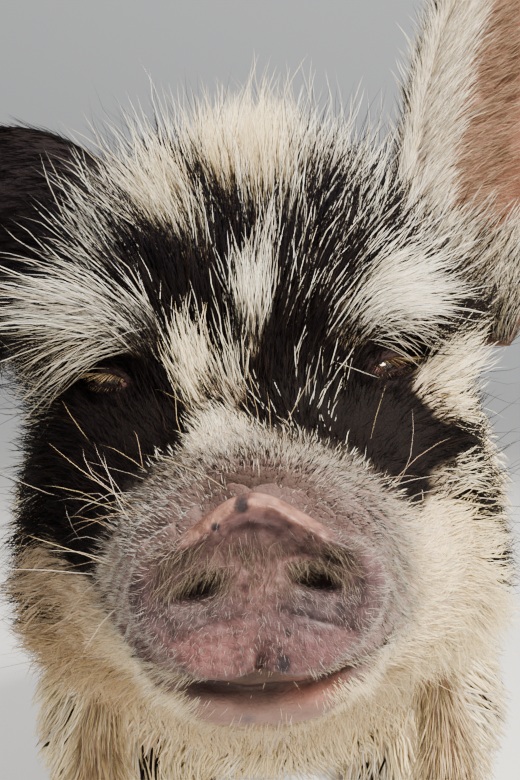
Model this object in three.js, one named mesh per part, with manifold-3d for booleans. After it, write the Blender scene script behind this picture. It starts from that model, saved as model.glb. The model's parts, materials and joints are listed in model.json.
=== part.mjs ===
// A young kunekune pig, about three months old, as a still life-size model: a short dished face with the
// snout held level, one ear pricked and one flopped, a round barrel, short legs and two wattles under the jaw.
// Millimetres, +Z up. The pig faces -Y and its own left side is +X. It stands with the hoof soles on z = 0.
//
// All shapes are first placed from the middle of the snout disc (0, 0, 0) and then moved as one group, so that
// the origin is the middle of the animal's box, on the ground.
import * as THREE from "three";
import { mergeVertices } from "three/addons/utils/BufferGeometryUtils.js";
import Module from "manifold-3d";

const wasm = await Module();
wasm.setup();

// ---------------------------------------------------------------- driving sizes
const DISC_HEIGHT = 238; // middle of the snout disc above the ground
const GAP = 0.3; // the thin cut between two parts
const DISC_DEEP = 4.4; // how far the disc reaches back from its middle
const MUZZLE_END = 50; // from the disc to where the snout becomes the face
const HEAD_END = 146; // from the disc to the nape
const NECK_END = 206; // from the disc to the shoulders
const CHEST_END = 322; // from the disc to the end of the rib cage's front half
const BARREL_END = 436; // from the disc to the flank
const JAW_END = 66; // how far back the lower jaw is its own part
const EYE_R = 8.6; // eyeball radius
const EYE_AT = [38.2, 74.5, 41.5]; // the middle of the lid opening
const EYE_OUT = [0.6, -0.72, 0.35]; // the way that the eye looks
const EAR_WIDE = 62; // across the widest part of an ear

// ---------------------------------------------------------------- the body's outline
// Each station is a slice across the animal at a distance y behind the disc: the top line, the belly line, the
// height of the widest point and the half width there, all at the skin, the fullness of the slice above and
// below (2 is an ellipse, less is pointed, more is square), and the coat's depth on top, at the sides and below.
const STATIONS = [
  { at: "disc face", y: 0, top: 17.3, low: -17.5, wideAt: -2, half: 24.4, up: 1.45, down: 2.3, coat: [0, 0, 0] },
  { at: "disc rim", y: 3, top: 17.3, low: -17.5, wideAt: -2, half: 24.8, up: 1.5, down: 2.3, coat: [0, 0, 0] },
  { at: "rim groove", y: 6.5, top: 15.4, low: -21, wideAt: -2, half: 24.0, up: 1.7, down: 2.2, coat: [0.2, 0.5, 0.3] },
  { at: "chin front", y: 11, top: 17.2, low: -31, wideAt: -3, half: 25.2, up: 1.9, down: 2.2, coat: [1, 1.5, 1.2] },
  { at: "nostril bone", y: 20, top: 19.6, low: -33.5, wideAt: -4, half: 28.5, up: 2.1, down: 2.2, coat: [2, 3, 2.5] },
  { at: "snout", y: 32, top: 23, low: -35.5, wideAt: -5, half: 33, up: 2.15, down: 2.2, coat: [3.5, 4, 4] },
  { at: "snout root", y: 45, top: 27, low: -38, wideAt: -7, half: 39.5, up: 2.1, down: 2.2, coat: [4.5, 5, 6] },
  { at: "cheek front", y: 57, top: 33.5, low: -41, wideAt: -10, half: 47, up: 2.0, down: 2.2, coat: [5.5, 6, 7] },
  { at: "stop", y: 66, top: 45, low: -43.5, wideAt: -12, half: 52, up: 2.05, down: 2.2, coat: [6, 7, 8] },
  { at: "eyes", y: 74, top: 63, low: -46, wideAt: -13, half: 55.5, up: 2.15, down: 2.2, coat: [7, 8, 9] },
  { at: "brow", y: 82, top: 79, low: -48.5, wideAt: -13, half: 58.5, up: 2.3, down: 2.2, coat: [8, 9, 10] },
  { at: "forehead", y: 92, top: 93, low: -52, wideAt: -13, half: 61.5, up: 2.4, down: 2.2, coat: [11, 10, 11] },
  { at: "crown", y: 105, top: 103, low: -57, wideAt: -12, half: 64, up: 2.45, down: 2.2, coat: [14, 10, 11] },
  { at: "poll", y: 120, top: 107, low: -64, wideAt: -10, half: 66, up: 2.4, down: 2.2, coat: [16, 10, 11] },
  { at: "nape", y: 138, top: 106, low: -73, wideAt: -8, half: 69, up: 2.3, down: 2.2, coat: [15, 10, 11] },
  { at: "neck", y: 160, top: 101, low: -86, wideAt: -8, half: 74, up: 2.25, down: 2.2, coat: [13, 9, 11] },
  { at: "neck root", y: 185, top: 93, low: -103, wideAt: -14, half: 82, up: 2.2, down: 2.2, coat: [13, 9, 11] },
  { at: "shoulder", y: 215, top: 83, low: -120, wideAt: -24, half: 91, up: 2.2, down: 2.2, coat: [13, 9, 11] },
  { at: "withers", y: 250, top: 74, low: -133, wideAt: -32, half: 98, up: 2.2, down: 2.2, coat: [12, 9, 11] },
  { at: "ribs", y: 300, top: 67, low: -143, wideAt: -38, half: 103, up: 2.2, down: 2.2, coat: [11, 9, 10] },
  { at: "belly", y: 355, top: 64, low: -149, wideAt: -42, half: 106, up: 2.2, down: 2.2, coat: [11, 9, 10] },
  { at: "flank", y: 410, top: 63, low: -147, wideAt: -40, half: 104, up: 2.2, down: 2.2, coat: [11, 9, 10] },
  { at: "loin", y: 460, top: 59, low: -137, wideAt: -34, half: 98, up: 2.2, down: 2.2, coat: [11, 9, 10] },
  { at: "rump", y: 500, top: 49, low: -118, wideAt: -26, half: 86, up: 2.2, down: 2.2, coat: [11, 9, 9] },
  { at: "ham", y: 528, top: 32, low: -96, wideAt: -22, half: 66, up: 2.2, down: 2.2, coat: [10, 9, 9] },
  { at: "seat", y: 545, top: 13, low: -70, wideAt: -22, half: 43, up: 2.1, down: 2.1, coat: [9, 9, 9] },
  { at: "tail root", y: 554, top: -6, low: -46, wideAt: -24, half: 20, up: 2, down: 2, coat: [8, 8, 8] },
];
const BODY_END = 558; // the last skin point behind, at height -25
const BODY_END_Z = -25;

// Legs, one side: each ring is a height above the ground, the middle (x, y) and the half sizes across and along.
const FORELEG = [
  { at: "arm", h: 185, x: 52, y: 228, rx: 34, ry: 44 },
  { at: "elbow", h: 145, x: 58, y: 230, rx: 36, ry: 44 },
  { at: "forearm", h: 116, x: 60, y: 230, rx: 31, ry: 36 },
  { at: "forearm low", h: 94, x: 60, y: 229, rx: 24.5, ry: 27.5 },
  { at: "knee", h: 74, x: 59, y: 227, rx: 20, ry: 21.5 },
  { at: "cannon", h: 56, x: 59, y: 227, rx: 16.5, ry: 17.5 },
  { at: "fetlock", h: 39, x: 59, y: 226, rx: 16.6, ry: 18 },
  { at: "pastern", h: 27, x: 59, y: 223, rx: 16.2, ry: 18 },
  { at: "coronet", h: 17.5, x: 59, y: 219, rx: 16.4, ry: 19.2 },
];
const HINDLEG = [
  { at: "thigh", h: 215, x: 46, y: 464, rx: 38, ry: 54 },
  { at: "ham", h: 178, x: 53, y: 468, rx: 42, ry: 57 },
  { at: "stifle", h: 142, x: 57, y: 470, rx: 38, ry: 50 },
  { at: "gaskin", h: 114, x: 58, y: 478, rx: 29, ry: 37 },
  { at: "gaskin low", h: 94, x: 58, y: 487, rx: 22, ry: 27 },
  { at: "hock", h: 77, x: 57.5, y: 492, rx: 18, ry: 22 },
  { at: "shank", h: 58, x: 57.5, y: 489, rx: 15.5, ry: 17.8 },
  { at: "fetlock", h: 39, x: 57.5, y: 484, rx: 15.8, ry: 17.6 },
  { at: "pastern", h: 27, x: 57.5, y: 480, rx: 15.6, ry: 17.6 },
  { at: "coronet", h: 17.5, x: 57.5, y: 476, rx: 16, ry: 18.8 },
];
const LEG_COAT = (h) => 2 + 7 * smooth(50, 170, h); // the coat's depth at a height on the leg
const HOOF = { high: 20, wide: 14.6, long: 37, apart: 16 };
const DEW = { apart: 19, top: 41, tip: 17.5, back: 14, radii: [5.2, 5.6, 5.4, 3.4] };

// ---------------------------------------------------------------- helpers
function smooth(a, b, t) {
  const s = Math.min(1, Math.max(0, (t - a) / (b - a)));
  return s * s * (3 - 2 * s);
}

// A curve through given values that never overshoots between them.
function curveThrough(xs, ys) {
  const n = xs.length,
    d = [],
    m = new Array(n).fill(0);
  for (let i = 0; i < n - 1; i++) d.push((ys[i + 1] - ys[i]) / (xs[i + 1] - xs[i]));
  m[0] = d[0];
  m[n - 1] = d[n - 2];
  for (let i = 1; i < n - 1; i++) {
    if (d[i - 1] * d[i] <= 0) continue;
    const h0 = xs[i] - xs[i - 1],
      h1 = xs[i + 1] - xs[i],
      w1 = 2 * h1 + h0,
      w2 = h1 + 2 * h0;
    m[i] = (w1 + w2) / (w1 / d[i - 1] + w2 / d[i]);
  }
  return (x) => {
    if (x <= xs[0]) return ys[0];
    if (x >= xs[n - 1]) return ys[n - 1];
    let i = 0;
    while (x > xs[i + 1]) i++;
    const h = xs[i + 1] - xs[i],
      t = (x - xs[i]) / h,
      t2 = t * t,
      t3 = t2 * t;
    return (
      (2 * t3 - 3 * t2 + 1) * ys[i] +
      (t3 - 2 * t2 + t) * h * m[i] +
      (-2 * t3 + 3 * t2) * ys[i + 1] +
      (t3 - t2) * h * m[i + 1]
    );
  };
}

// A closed skin of rows round a line: the sphere's grid is laid over rows of points, with its poles as the ends.
function wrap(across, rows, start, end, pointAt) {
  const g = new THREE.SphereGeometry(1, across, rows + 1);
  const p = g.getAttribute("position");
  for (let j = 0; j <= rows + 1; j++)
    for (let i = 0; i <= across; i++) {
      const k = j * (across + 1) + i;
      const v = j === 0 ? start : j === rows + 1 ? end : pointAt(j - 1, (2 * Math.PI * (i % across)) / across);
      p.setXYZ(k, v[0], v[1], v[2]);
    }
  return g;
}

// A geometry as a solid, turned so that its faces point out.
function solid(geometry) {
  const g = geometry.clone();
  g.deleteAttribute("normal");
  g.deleteAttribute("uv");
  const m = mergeVertices(g, 1e-4);
  const idx = new Uint32Array(m.index.array);
  const p = m.attributes.position.array;
  const keep = [];
  for (let i = 0; i < idx.length; i += 3)
    if (idx[i] !== idx[i + 1] && idx[i + 1] !== idx[i + 2] && idx[i] !== idx[i + 2])
      keep.push(idx[i], idx[i + 1], idx[i + 2]);
  let six = 0;
  for (let i = 0; i < keep.length; i += 3) {
    const [a, b, c] = [keep[i] * 3, keep[i + 1] * 3, keep[i + 2] * 3];
    six +=
      p[a] * (p[b + 1] * p[c + 2] - p[b + 2] * p[c + 1]) -
      p[a + 1] * (p[b] * p[c + 2] - p[b + 2] * p[c]) +
      p[a + 2] * (p[b] * p[c + 1] - p[b + 1] * p[c]);
  }
  if (six < 0) for (let i = 0; i < keep.length; i += 3) [keep[i + 1], keep[i + 2]] = [keep[i + 2], keep[i + 1]];
  return new wasm.Manifold(
    new wasm.Mesh({ numProp: 3, vertProperties: new Float32Array(p), triVerts: new Uint32Array(keep) }),
  );
}

function boxSolid(x0, x1, y0, y1, z0, z1, turn) {
  const g = new THREE.BoxGeometry(x1 - x0, y1 - y0, z1 - z0);
  g.translate((x0 + x1) / 2, (y0 + y1) / 2, (z0 + z1) / 2);
  if (turn) g.applyMatrix4(turn);
  return solid(g);
}

// ---------------------------------------------------------------- the slices as functions of y
const ys = STATIONS.map((s) => s.y);
const slice = {
  top: curveThrough(ys, STATIONS.map((s) => s.top)),
  low: curveThrough(ys, STATIONS.map((s) => s.low)),
  wideAt: curveThrough(ys, STATIONS.map((s) => s.wideAt)),
  half: curveThrough(ys, STATIONS.map((s) => s.half)),
  up: curveThrough(ys, STATIONS.map((s) => s.up)),
  down: curveThrough(ys, STATIONS.map((s) => s.down)),
  coatTop: curveThrough(ys, STATIONS.map((s) => s.coat[0])),
  coatSide: curveThrough(ys, STATIONS.map((s) => s.coat[1])),
  coatLow: curveThrough(ys, STATIONS.map((s) => s.coat[2])),
};

// The point of a slice at angle a: 0 is the animal's left (+X), a quarter turn is the top line.
function outline(y, a, grow) {
  const w = slice.wideAt(y),
    above = Math.sin(a) >= 0;
  const h = above ? slice.top(y) + slice.coatTop(y) + grow - w : w - (slice.low(y) - slice.coatLow(y) - grow);
  const n = above ? slice.up(y) : slice.down(y);
  const c = Math.cos(a),
    s = Math.sin(a);
  // even turns on the superellipse: the radius along the angle a
  const r = 1 / Math.pow(Math.pow(Math.abs(c), n) + Math.pow(Math.abs(s), n), 1 / n);
  return [(slice.half(y) + slice.coatSide(y) + grow) * c * r, y, w + h * s * r];
}

const ROUND = 30; // points round a slice
const ROWS = [
  0, 3, 5, 8, 12, 18, 25, 33, 41, 49, 57, 64, 70, 76, 82, 89, 97, 107, 119, 132, 148, 166, 186, 208, 232, 262, 298,
  336, 374, 410, 441, 469, 492, 512, 527, 539, 548, 555,
];
function bodySolid(grow) {
  return solid(
    wrap(ROUND, ROWS.length, [0, -1 - grow, 0], [0, BODY_END + 8 + grow, BODY_END_Z], (j, a) => {
      const p = outline(ROWS[j], a, grow);
      // the coat also stands out behind, and the disc leans forward at its top edge
      p[1] += 8 * smooth(508, 554, p[1]) + (j < 2 ? -0.06 * p[2] : 0) - (j === 0 ? grow : 0);
      return p;
    }),
  );
}

// ---------------------------------------------------------------- legs, feet
function legSolid(rings, side, grow) {
  const hs = rings.map((r) => -r.h),
    f = (k) => curveThrough(hs, rings.map((r) => r[k]));
  const [fx, fy, frx, fry] = ["x", "y", "rx", "ry"].map(f);
  const steps = 12,
    h0 = rings[0].h,
    h1 = rings[rings.length - 1].h;
  const at = (j) => h0 + ((h1 - h0) * j) / (steps - 1);
  return solid(
    wrap(
      12,
      steps,
      [side * fx(-h0), fy(-h0), h0 - DISC_HEIGHT + 6],
      [side * fx(-h1), fy(-h1), h1 - DISC_HEIGHT - grow],
      (j, a) => {
        const h = at(j),
          c = LEG_COAT(h) + grow;
        return [
          side * (fx(-h) + (frx(-h) + c) * Math.cos(a)),
          fy(-h) + (fry(-h) + c) * Math.sin(a),
          h - DISC_HEIGHT - (j === steps - 1 ? grow : 0),
        ];
      },
    ),
  );
}

// A claw of the hoof: a flat sole on the ground, a rounded toe in front and a sloping wall up to the coronet.
function clawShape(wide, long, inner) {
  const s = new THREE.Shape();
  const w = wide / 2;
  s.moveTo(-w * 0.85, long * 0.5);
  s.bezierCurveTo(-w * 1.05, long * 0.1, -w * (inner ? 0.95 : 1.1), -long * 0.3, -w * 0.25, -long * 0.5);
  s.bezierCurveTo(w * 0.1, -long * 0.55, w * 0.5, -long * 0.5, w * 0.85, -long * 0.25);
  s.bezierCurveTo(w * 1.05, 0, w, long * 0.25, w * 0.85, long * 0.5);
  s.closePath();
  return s;
}
function claw(x, y, side, size, floor, lean) {
  const g = new THREE.ExtrudeGeometry(clawShape(size.wide, size.long, true), {
    depth: size.high,
    bevelEnabled: false,
    steps: 2,
    curveSegments: 3,
  });
  const p = g.getAttribute("position");
  for (let i = 0; i < p.count; i++) {
    const t = p.getZ(i) / size.high; // 0 at the sole, 1 at the coronet
    const narrow = 1 - 0.1 * t * t;
    p.setXYZ(
      i,
      x + side * p.getX(i) * narrow,
      y + p.getY(i) * (1 - 0.26 * t) + lean * t * size.high,
      floor + p.getZ(i) - DISC_HEIGHT,
    );
  }
  return solid(g);
}

// ---------------------------------------------------------------- ears: a cupped leaf along a bent line
// line is the middle of the ear from its base to its tip, side the way across it at even steps from base to tip.
// The hollow face looks along side x line. leaf is the half width, as a share, from the base to the tip.
const LEAF = curveThrough([0, 0.12, 0.25, 0.42, 0.6, 0.76, 0.88, 0.96, 1], [0.72, 0.82, 0.93, 1, 0.94, 0.77, 0.52, 0.27, 0.1]);
function earSolid(ear, grow) {
  const curve = new THREE.CatmullRomCurve3(ear.line.map((v) => new THREE.Vector3(...v)), false, "centripetal");
  const rows = ear.rows,
    across = 8; // steps on each face
  const ring = (j) => {
    const t = j / (rows - 1);
    const c = curve.getPointAt(t);
    const along = curve.getTangentAt(t);
    const step = Math.min(Math.floor(t * (ear.side.length - 1)), ear.side.length - 2);
    const side = new THREE.Vector3(...ear.side[step]).lerp(
      new THREE.Vector3(...ear.side[step + 1]),
      t * (ear.side.length - 1) - step,
    );
    side.addScaledVector(along, -side.dot(along)).normalize();
    const face = new THREE.Vector3().crossVectors(side, along).normalize();
    const cup = ear.cup[0] + (ear.cup[1] - ear.cup[0]) * smooth(0, 0.4, t);
    const half = ((ear.wide / 2) * LEAF(t) * cup) / Math.sin(cup);
    const thick = (ear.thick[0] + (ear.thick[1] - ear.thick[0]) * t) / 2 + grow;
    return { c, along, face, side, half, cup, thick };
  };
  const on = (r, u, k) => {
    // u from -1 to 1 across the ear, k is +1 on the hollow face and -1 on the back
    const bend = r.cup * u,
      radius = r.half / r.cup;
    const off = k * r.thick * Math.sqrt(Math.max(0, 1 - Math.pow(Math.abs(u), 4)));
    return r.c
      .clone()
      .addScaledVector(r.side, radius * Math.sin(bend) - Math.sin(bend) * off)
      .addScaledVector(r.face, radius * (1 - Math.cos(bend)) + Math.cos(bend) * off)
      .toArray();
  };
  const first = ring(0),
    last = ring(rows - 1);
  return solid(
    wrap(
      2 * across,
      rows,
      first.c.clone().addScaledVector(first.along, -3 - grow).toArray(),
      last.c.clone().addScaledVector(last.along, 2 + grow).toArray(),
      (j, a) => on(ring(j), Math.cos(a), Math.sin(a) >= 0 ? 1 : -1),
    ),
  );
}
// The left ear stands up, leans a little out and opens forward.
const LEFT_EAR = {
  rows: 11,
  wide: EAR_WIDE,
  line: [
    [67, 121, 50],
    [75, 121, 81],
    [84, 119, 113],
    [91, 116, 146],
    [95, 112, 181],
  ],
  side: [
    [0.8, 0.1, -0.55],
    [0.98, -0.15, -0.1],
  ],
  cup: [1.2, 0.5],
  thick: [10, 6],
};
// The right ear flops out to the side and hangs, turned so that its back shows from the front.
const RIGHT_EAR = {
  rows: 15,
  wide: EAR_WIDE * 1.18,
  line: [
    [-45, 127, 80],
    [-57, 124, 89],
    [-70, 121, 93],
    [-84, 120.5, 91],
    [-95, 124, 81],
    [-101, 130, 66],
    [-104, 136, 49],
    [-104, 140, 34],
  ],
  side: [
    [-0.4, 0.15, -0.9],
    [0.25, -0.1, -0.95],
    [0.68, -0.72, -0.1],
  ],
  cup: [0.75, 0.45],
  thick: [10, 7],
};

// ---------------------------------------------------------------- tail, wattles: soft drops along a bent line
function dropSolid(line, radii, around, rows) {
  const curve = new THREE.CatmullRomCurve3(line.map((v) => new THREE.Vector3(...v)), false, "centripetal");
  const r = curveThrough(radii.map((_, i) => i / (radii.length - 1)), radii);
  const frames = curve.computeFrenetFrames(rows, false);
  return solid(
    wrap(around, rows, curve.getPointAt(0).toArray(), curve.getPointAt(1).toArray(), (j, a) => {
      const t = (j + 0.6) / (rows + 0.2);
      const c = curve.getPointAt(t),
        n = frames.normals[j],
        b = frames.binormals[j];
      return c
        .clone()
        .addScaledVector(n, r(t) * Math.cos(a))
        .addScaledVector(b, r(t) * Math.sin(a))
        .toArray();
    }),
  );
}
const TAIL = {
  line: [
    [0, 534, 6],
    [0, 563, 2],
    [3, 582, -16],
    [5, 588, -48],
    [3, 584, -86],
    [0, 580, -118],
  ],
  radii: [17, 15, 12.5, 13, 14, 12, 2.5],
};
const WATTLE = {
  left: [
    [49, 111, -48],
    [53, 110, -64],
    [54, 109, -79],
    [54, 109, -95],
  ],
  right: [
    [-48, 112, -49],
    [-52, 113, -65],
    [-53, 113, -80],
    [-53, 112, -96],
  ],
  radii: [7, 6.6, 7.4, 8.2, 6.2, 1.5],
};

// ---------------------------------------------------------------- eyes
function eyeFrame(side) {
  const out = new THREE.Vector3(side * EYE_OUT[0], EYE_OUT[1], EYE_OUT[2]).normalize();
  const lid = new THREE.Vector3(side * EYE_AT[0], EYE_AT[1], EYE_AT[2]);
  const centre = lid.clone().addScaledVector(out, -EYE_R - 0.4);
  return { out, lid, centre };
}
function ball(centre, r, fine) {
  const g = new THREE.SphereGeometry(r, fine, Math.round(fine * 0.6));
  g.translate(centre.x, centre.y, centre.z);
  return solid(g);
}
// The lid opening: an almond-shaped well that reaches from the coat's surface down to the eyeball.
function lidOpening(side) {
  const { out, centre } = eyeFrame(side);
  const g = new THREE.SphereGeometry(1, 12, 8);
  g.scale(8.2, 17, 4.6); // wide, deep, high
  const q = new THREE.Quaternion().setFromUnitVectors(new THREE.Vector3(0, -1, 0), out);
  g.applyQuaternion(q);
  g.translate(centre.x + out.x * 9, centre.y + out.y * 9, centre.z + out.z * 9);
  return solid(g);
}
function nostril(side, grow) {
  const g = new THREE.SphereGeometry(1, 12, 8);
  g.scale(4.4 + grow, 7 + grow, 2.3 + grow);
  g.rotateY(side * 0.25);
  g.translate(side * 11.6, 0.5, 0.4);
  return solid(g);
}

// ---------------------------------------------------------------- build
const skinTone = [0.62, 0.45, 0.4];
const flesh = (c, r = 0.8) =>
  new THREE.MeshStandardMaterial({ color: new THREE.Color(...c), roughness: r, metalness: 0 });
const CREAM = flesh([0.74, 0.64, 0.5]);
const DARK = flesh([0.09, 0.08, 0.085]);
const PINK = flesh([0.6, 0.43, 0.4], 0.5);
const EAR_PINK = flesh([0.7, 0.5, 0.42], 0.7);
const EYE = flesh([0.03, 0.02, 0.015], 0.08);
const HORN = flesh([0.3, 0.24, 0.19], 0.45);

const pig = new THREE.Group();
const placed = new THREE.Group();
pig.add(placed);
function add(name, made, material) {
  const mesh = made.getMesh();
  const g = new THREE.BufferGeometry();
  const p = new Float32Array(mesh.numVert * 3);
  for (let i = 0; i < mesh.numVert; i++)
    for (let k = 0; k < 3; k++) p[3 * i + k] = mesh.vertProperties[mesh.numProp * i + k];
  g.setAttribute("position", new THREE.BufferAttribute(p, 3));
  g.setIndex(new THREE.BufferAttribute(new Uint32Array(mesh.triVerts), 1));
  g.computeVertexNormals();
  const m = new THREE.Mesh(g, material);
  m.name = name;
  placed.add(m);
  return m;
}

const FAR = 900;
const between = (y0, y1) => boxSolid(-FAR, FAR, y0, y1, -FAR, FAR);

const body = bodySolid(0);
const bodyCut = bodySolid(GAP);

// eyes, with their sockets and lid openings cut from the head
let whole = body;
for (const [side, name] of [
  [1, "eye_left"],
  [-1, "eye_right"],
]) {
  const { centre } = eyeFrame(side);
  whole = whole.subtract(ball(centre, EYE_R + GAP, 12)).subtract(lidOpening(side));
  add(name, ball(centre, EYE_R, 12), EYE);
}
whole = whole.subtract(nostril(1, 0)).subtract(nostril(-1, 0));

// The lower jaw is parted from the snout by a thin cut that rises to the corner of the mouth.
const mouth = new THREE.Matrix4()
  .makeTranslation(0, 0, -19.2)
  .multiply(new THREE.Matrix4().makeRotationX(0.13));
const jawRoom = boxSolid(-FAR, FAR, 4.7, JAW_END, -FAR, 0, mouth);
const jawCut = boxSolid(-FAR, FAR, 4.7 - GAP, JAW_END + GAP, -FAR, GAP, mouth);

// ears, wattles and tail first, so that the parts they grow from stay whole
add("ear_left", earSolid(LEFT_EAR, 0).subtract(bodyCut), EAR_PINK);
add("ear_right", earSolid(RIGHT_EAR, 0).subtract(bodyCut), DARK);
for (const side of ["left", "right"])
  add(`wattle_${side}`, dropSolid(WATTLE[side], WATTLE.radii, 9, 6).subtract(bodyCut), PINK);
add("tail", dropSolid(TAIL.line, TAIL.radii, 9, 9).subtract(bodyCut), CREAM);

add("snout_disc", whole.intersect(between(-FAR, DISC_DEEP)), PINK);
add("snout", whole.intersect(between(DISC_DEEP + GAP, MUZZLE_END)).subtract(jawCut), PINK);
add("lower_jaw", whole.intersect(jawRoom), CREAM);
add("head", whole.intersect(between(MUZZLE_END + GAP, HEAD_END)).subtract(jawCut), DARK);
add("neck", whole.intersect(between(HEAD_END + GAP, NECK_END)), CREAM);
add("chest", whole.intersect(between(NECK_END + GAP, CHEST_END)), DARK);
add("belly", whole.intersect(between(CHEST_END + GAP, BARREL_END)), CREAM);
add("hindquarters", whole.intersect(between(BARREL_END + GAP, FAR)), DARK);

// legs with their claws
for (const [rings, fore] of [
  [FORELEG, true],
  [HINDLEG, false],
])
  for (const side of [1, -1]) {
    const label = `${fore ? "fore" : "hind"}leg_${side > 0 ? "left" : "right"}`;
    const leg = legSolid(rings, side, 0),
      legCut = legSolid(rings, side, GAP);
    const end = rings[rings.length - 1];
    let shown = leg.subtract(bodyCut);
    const knee = rings[4].h - DISC_HEIGHT;
    const dews = [];
    for (const inner of [1, -1]) {
      // inner is +1 for the claw nearer the animal's middle
      const where = inner > 0 ? "inner" : "outer";
      const x = side * (end.x - (inner * HOOF.apart) / 2);
      add(
        `hoof_${fore ? "fore" : "hind"}_${side > 0 ? "left" : "right"}_${where}`,
        claw(x, end.y - 4, side * (inner > 0 ? -1 : 1), HOOF, 0, 0.1).subtract(legCut),
        HORN,
      );
      const dx = end.x - (inner * DEW.apart) / 2,
        dy = end.y + DEW.back,
        dz = (h) => h - DISC_HEIGHT;
      const line = [
        [side * dx, dy + 2, dz(DEW.top)],
        [side * (dx - inner * 1.2), dy + 9.5, dz((DEW.top + DEW.tip) / 2 + 1)],
        [side * (dx - inner * 2), dy + 12.5, dz(DEW.tip)],
      ];
      dews.push([where, dropSolid(line, DEW.radii, 8, 4)]);
    }
    for (const [where, dew] of dews)
      add(`dewclaw_${fore ? "fore" : "hind"}_${side > 0 ? "left" : "right"}_${where}`, dew.subtract(legCut), HORN);
    add(`${label}_upper`, shown.intersect(boxSolid(-FAR, FAR, -FAR, FAR, knee + GAP, FAR)), CREAM);
    add(`${label}_lower`, shown.intersect(boxSolid(-FAR, FAR, -FAR, FAR, -FAR, knee)), CREAM);
  }

// ---------------------------------------------------------------- to the ground, with the origin under the middle
placed.updateMatrixWorld(true);
const bounds = new THREE.Box3().setFromObject(placed);
placed.position.set(-(bounds.min.x + bounds.max.x) / 2, -(bounds.min.y + bounds.max.y) / 2, DISC_HEIGHT);

export default pig;
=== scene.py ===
# A young kunekune pig as a still, life-size model: one sculpted skin, eyes with lids, hooves, and a coat of solid
# mesh strands and locks over it, on a plain pale floor.
# Shapes are worked out in millimetres from the middle of the snout disc: x to the animal's left, y back, z up.
import json
import math

import bpy
import bmesh
import numpy as np
from mathutils import Matrix, Vector
from mathutils.kdtree import KDTree

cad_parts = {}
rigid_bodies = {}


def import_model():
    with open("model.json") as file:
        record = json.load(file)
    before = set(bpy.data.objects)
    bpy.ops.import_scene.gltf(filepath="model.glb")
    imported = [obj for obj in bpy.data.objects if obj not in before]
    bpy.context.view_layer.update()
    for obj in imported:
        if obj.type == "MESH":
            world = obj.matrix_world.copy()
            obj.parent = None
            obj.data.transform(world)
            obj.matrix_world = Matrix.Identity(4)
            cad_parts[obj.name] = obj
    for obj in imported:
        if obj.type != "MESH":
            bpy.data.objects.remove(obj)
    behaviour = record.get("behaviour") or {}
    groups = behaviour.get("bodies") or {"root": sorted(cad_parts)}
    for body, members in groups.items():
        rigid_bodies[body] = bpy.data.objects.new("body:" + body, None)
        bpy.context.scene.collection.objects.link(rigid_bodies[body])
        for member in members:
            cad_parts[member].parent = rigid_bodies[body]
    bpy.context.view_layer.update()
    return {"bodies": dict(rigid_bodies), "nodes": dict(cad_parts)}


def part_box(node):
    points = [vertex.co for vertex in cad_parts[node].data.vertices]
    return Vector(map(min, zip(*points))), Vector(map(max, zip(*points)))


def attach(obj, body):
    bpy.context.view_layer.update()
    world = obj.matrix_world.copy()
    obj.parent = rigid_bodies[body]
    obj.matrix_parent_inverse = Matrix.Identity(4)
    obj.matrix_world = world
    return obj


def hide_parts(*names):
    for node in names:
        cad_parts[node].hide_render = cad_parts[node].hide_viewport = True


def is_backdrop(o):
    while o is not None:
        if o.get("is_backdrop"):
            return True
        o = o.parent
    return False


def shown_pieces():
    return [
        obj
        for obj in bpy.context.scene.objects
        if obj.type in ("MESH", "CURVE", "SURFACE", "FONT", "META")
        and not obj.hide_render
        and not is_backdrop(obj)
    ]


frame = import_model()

BODY = sorted(frame["bodies"])[0]
PI = math.pi


# ------------------------------------------------------------------ numbers in common with the solids
EYE_R = 8.6
EYE_AT = np.array([38.2, 74.5, 41.5])
EYE_OUT = np.array([0.6, -0.72, 0.35])
EYE_OUT = EYE_OUT / np.linalg.norm(EYE_OUT)
EAR_WIDE = 62.0
DISC_HEIGHT = 238.0
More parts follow.
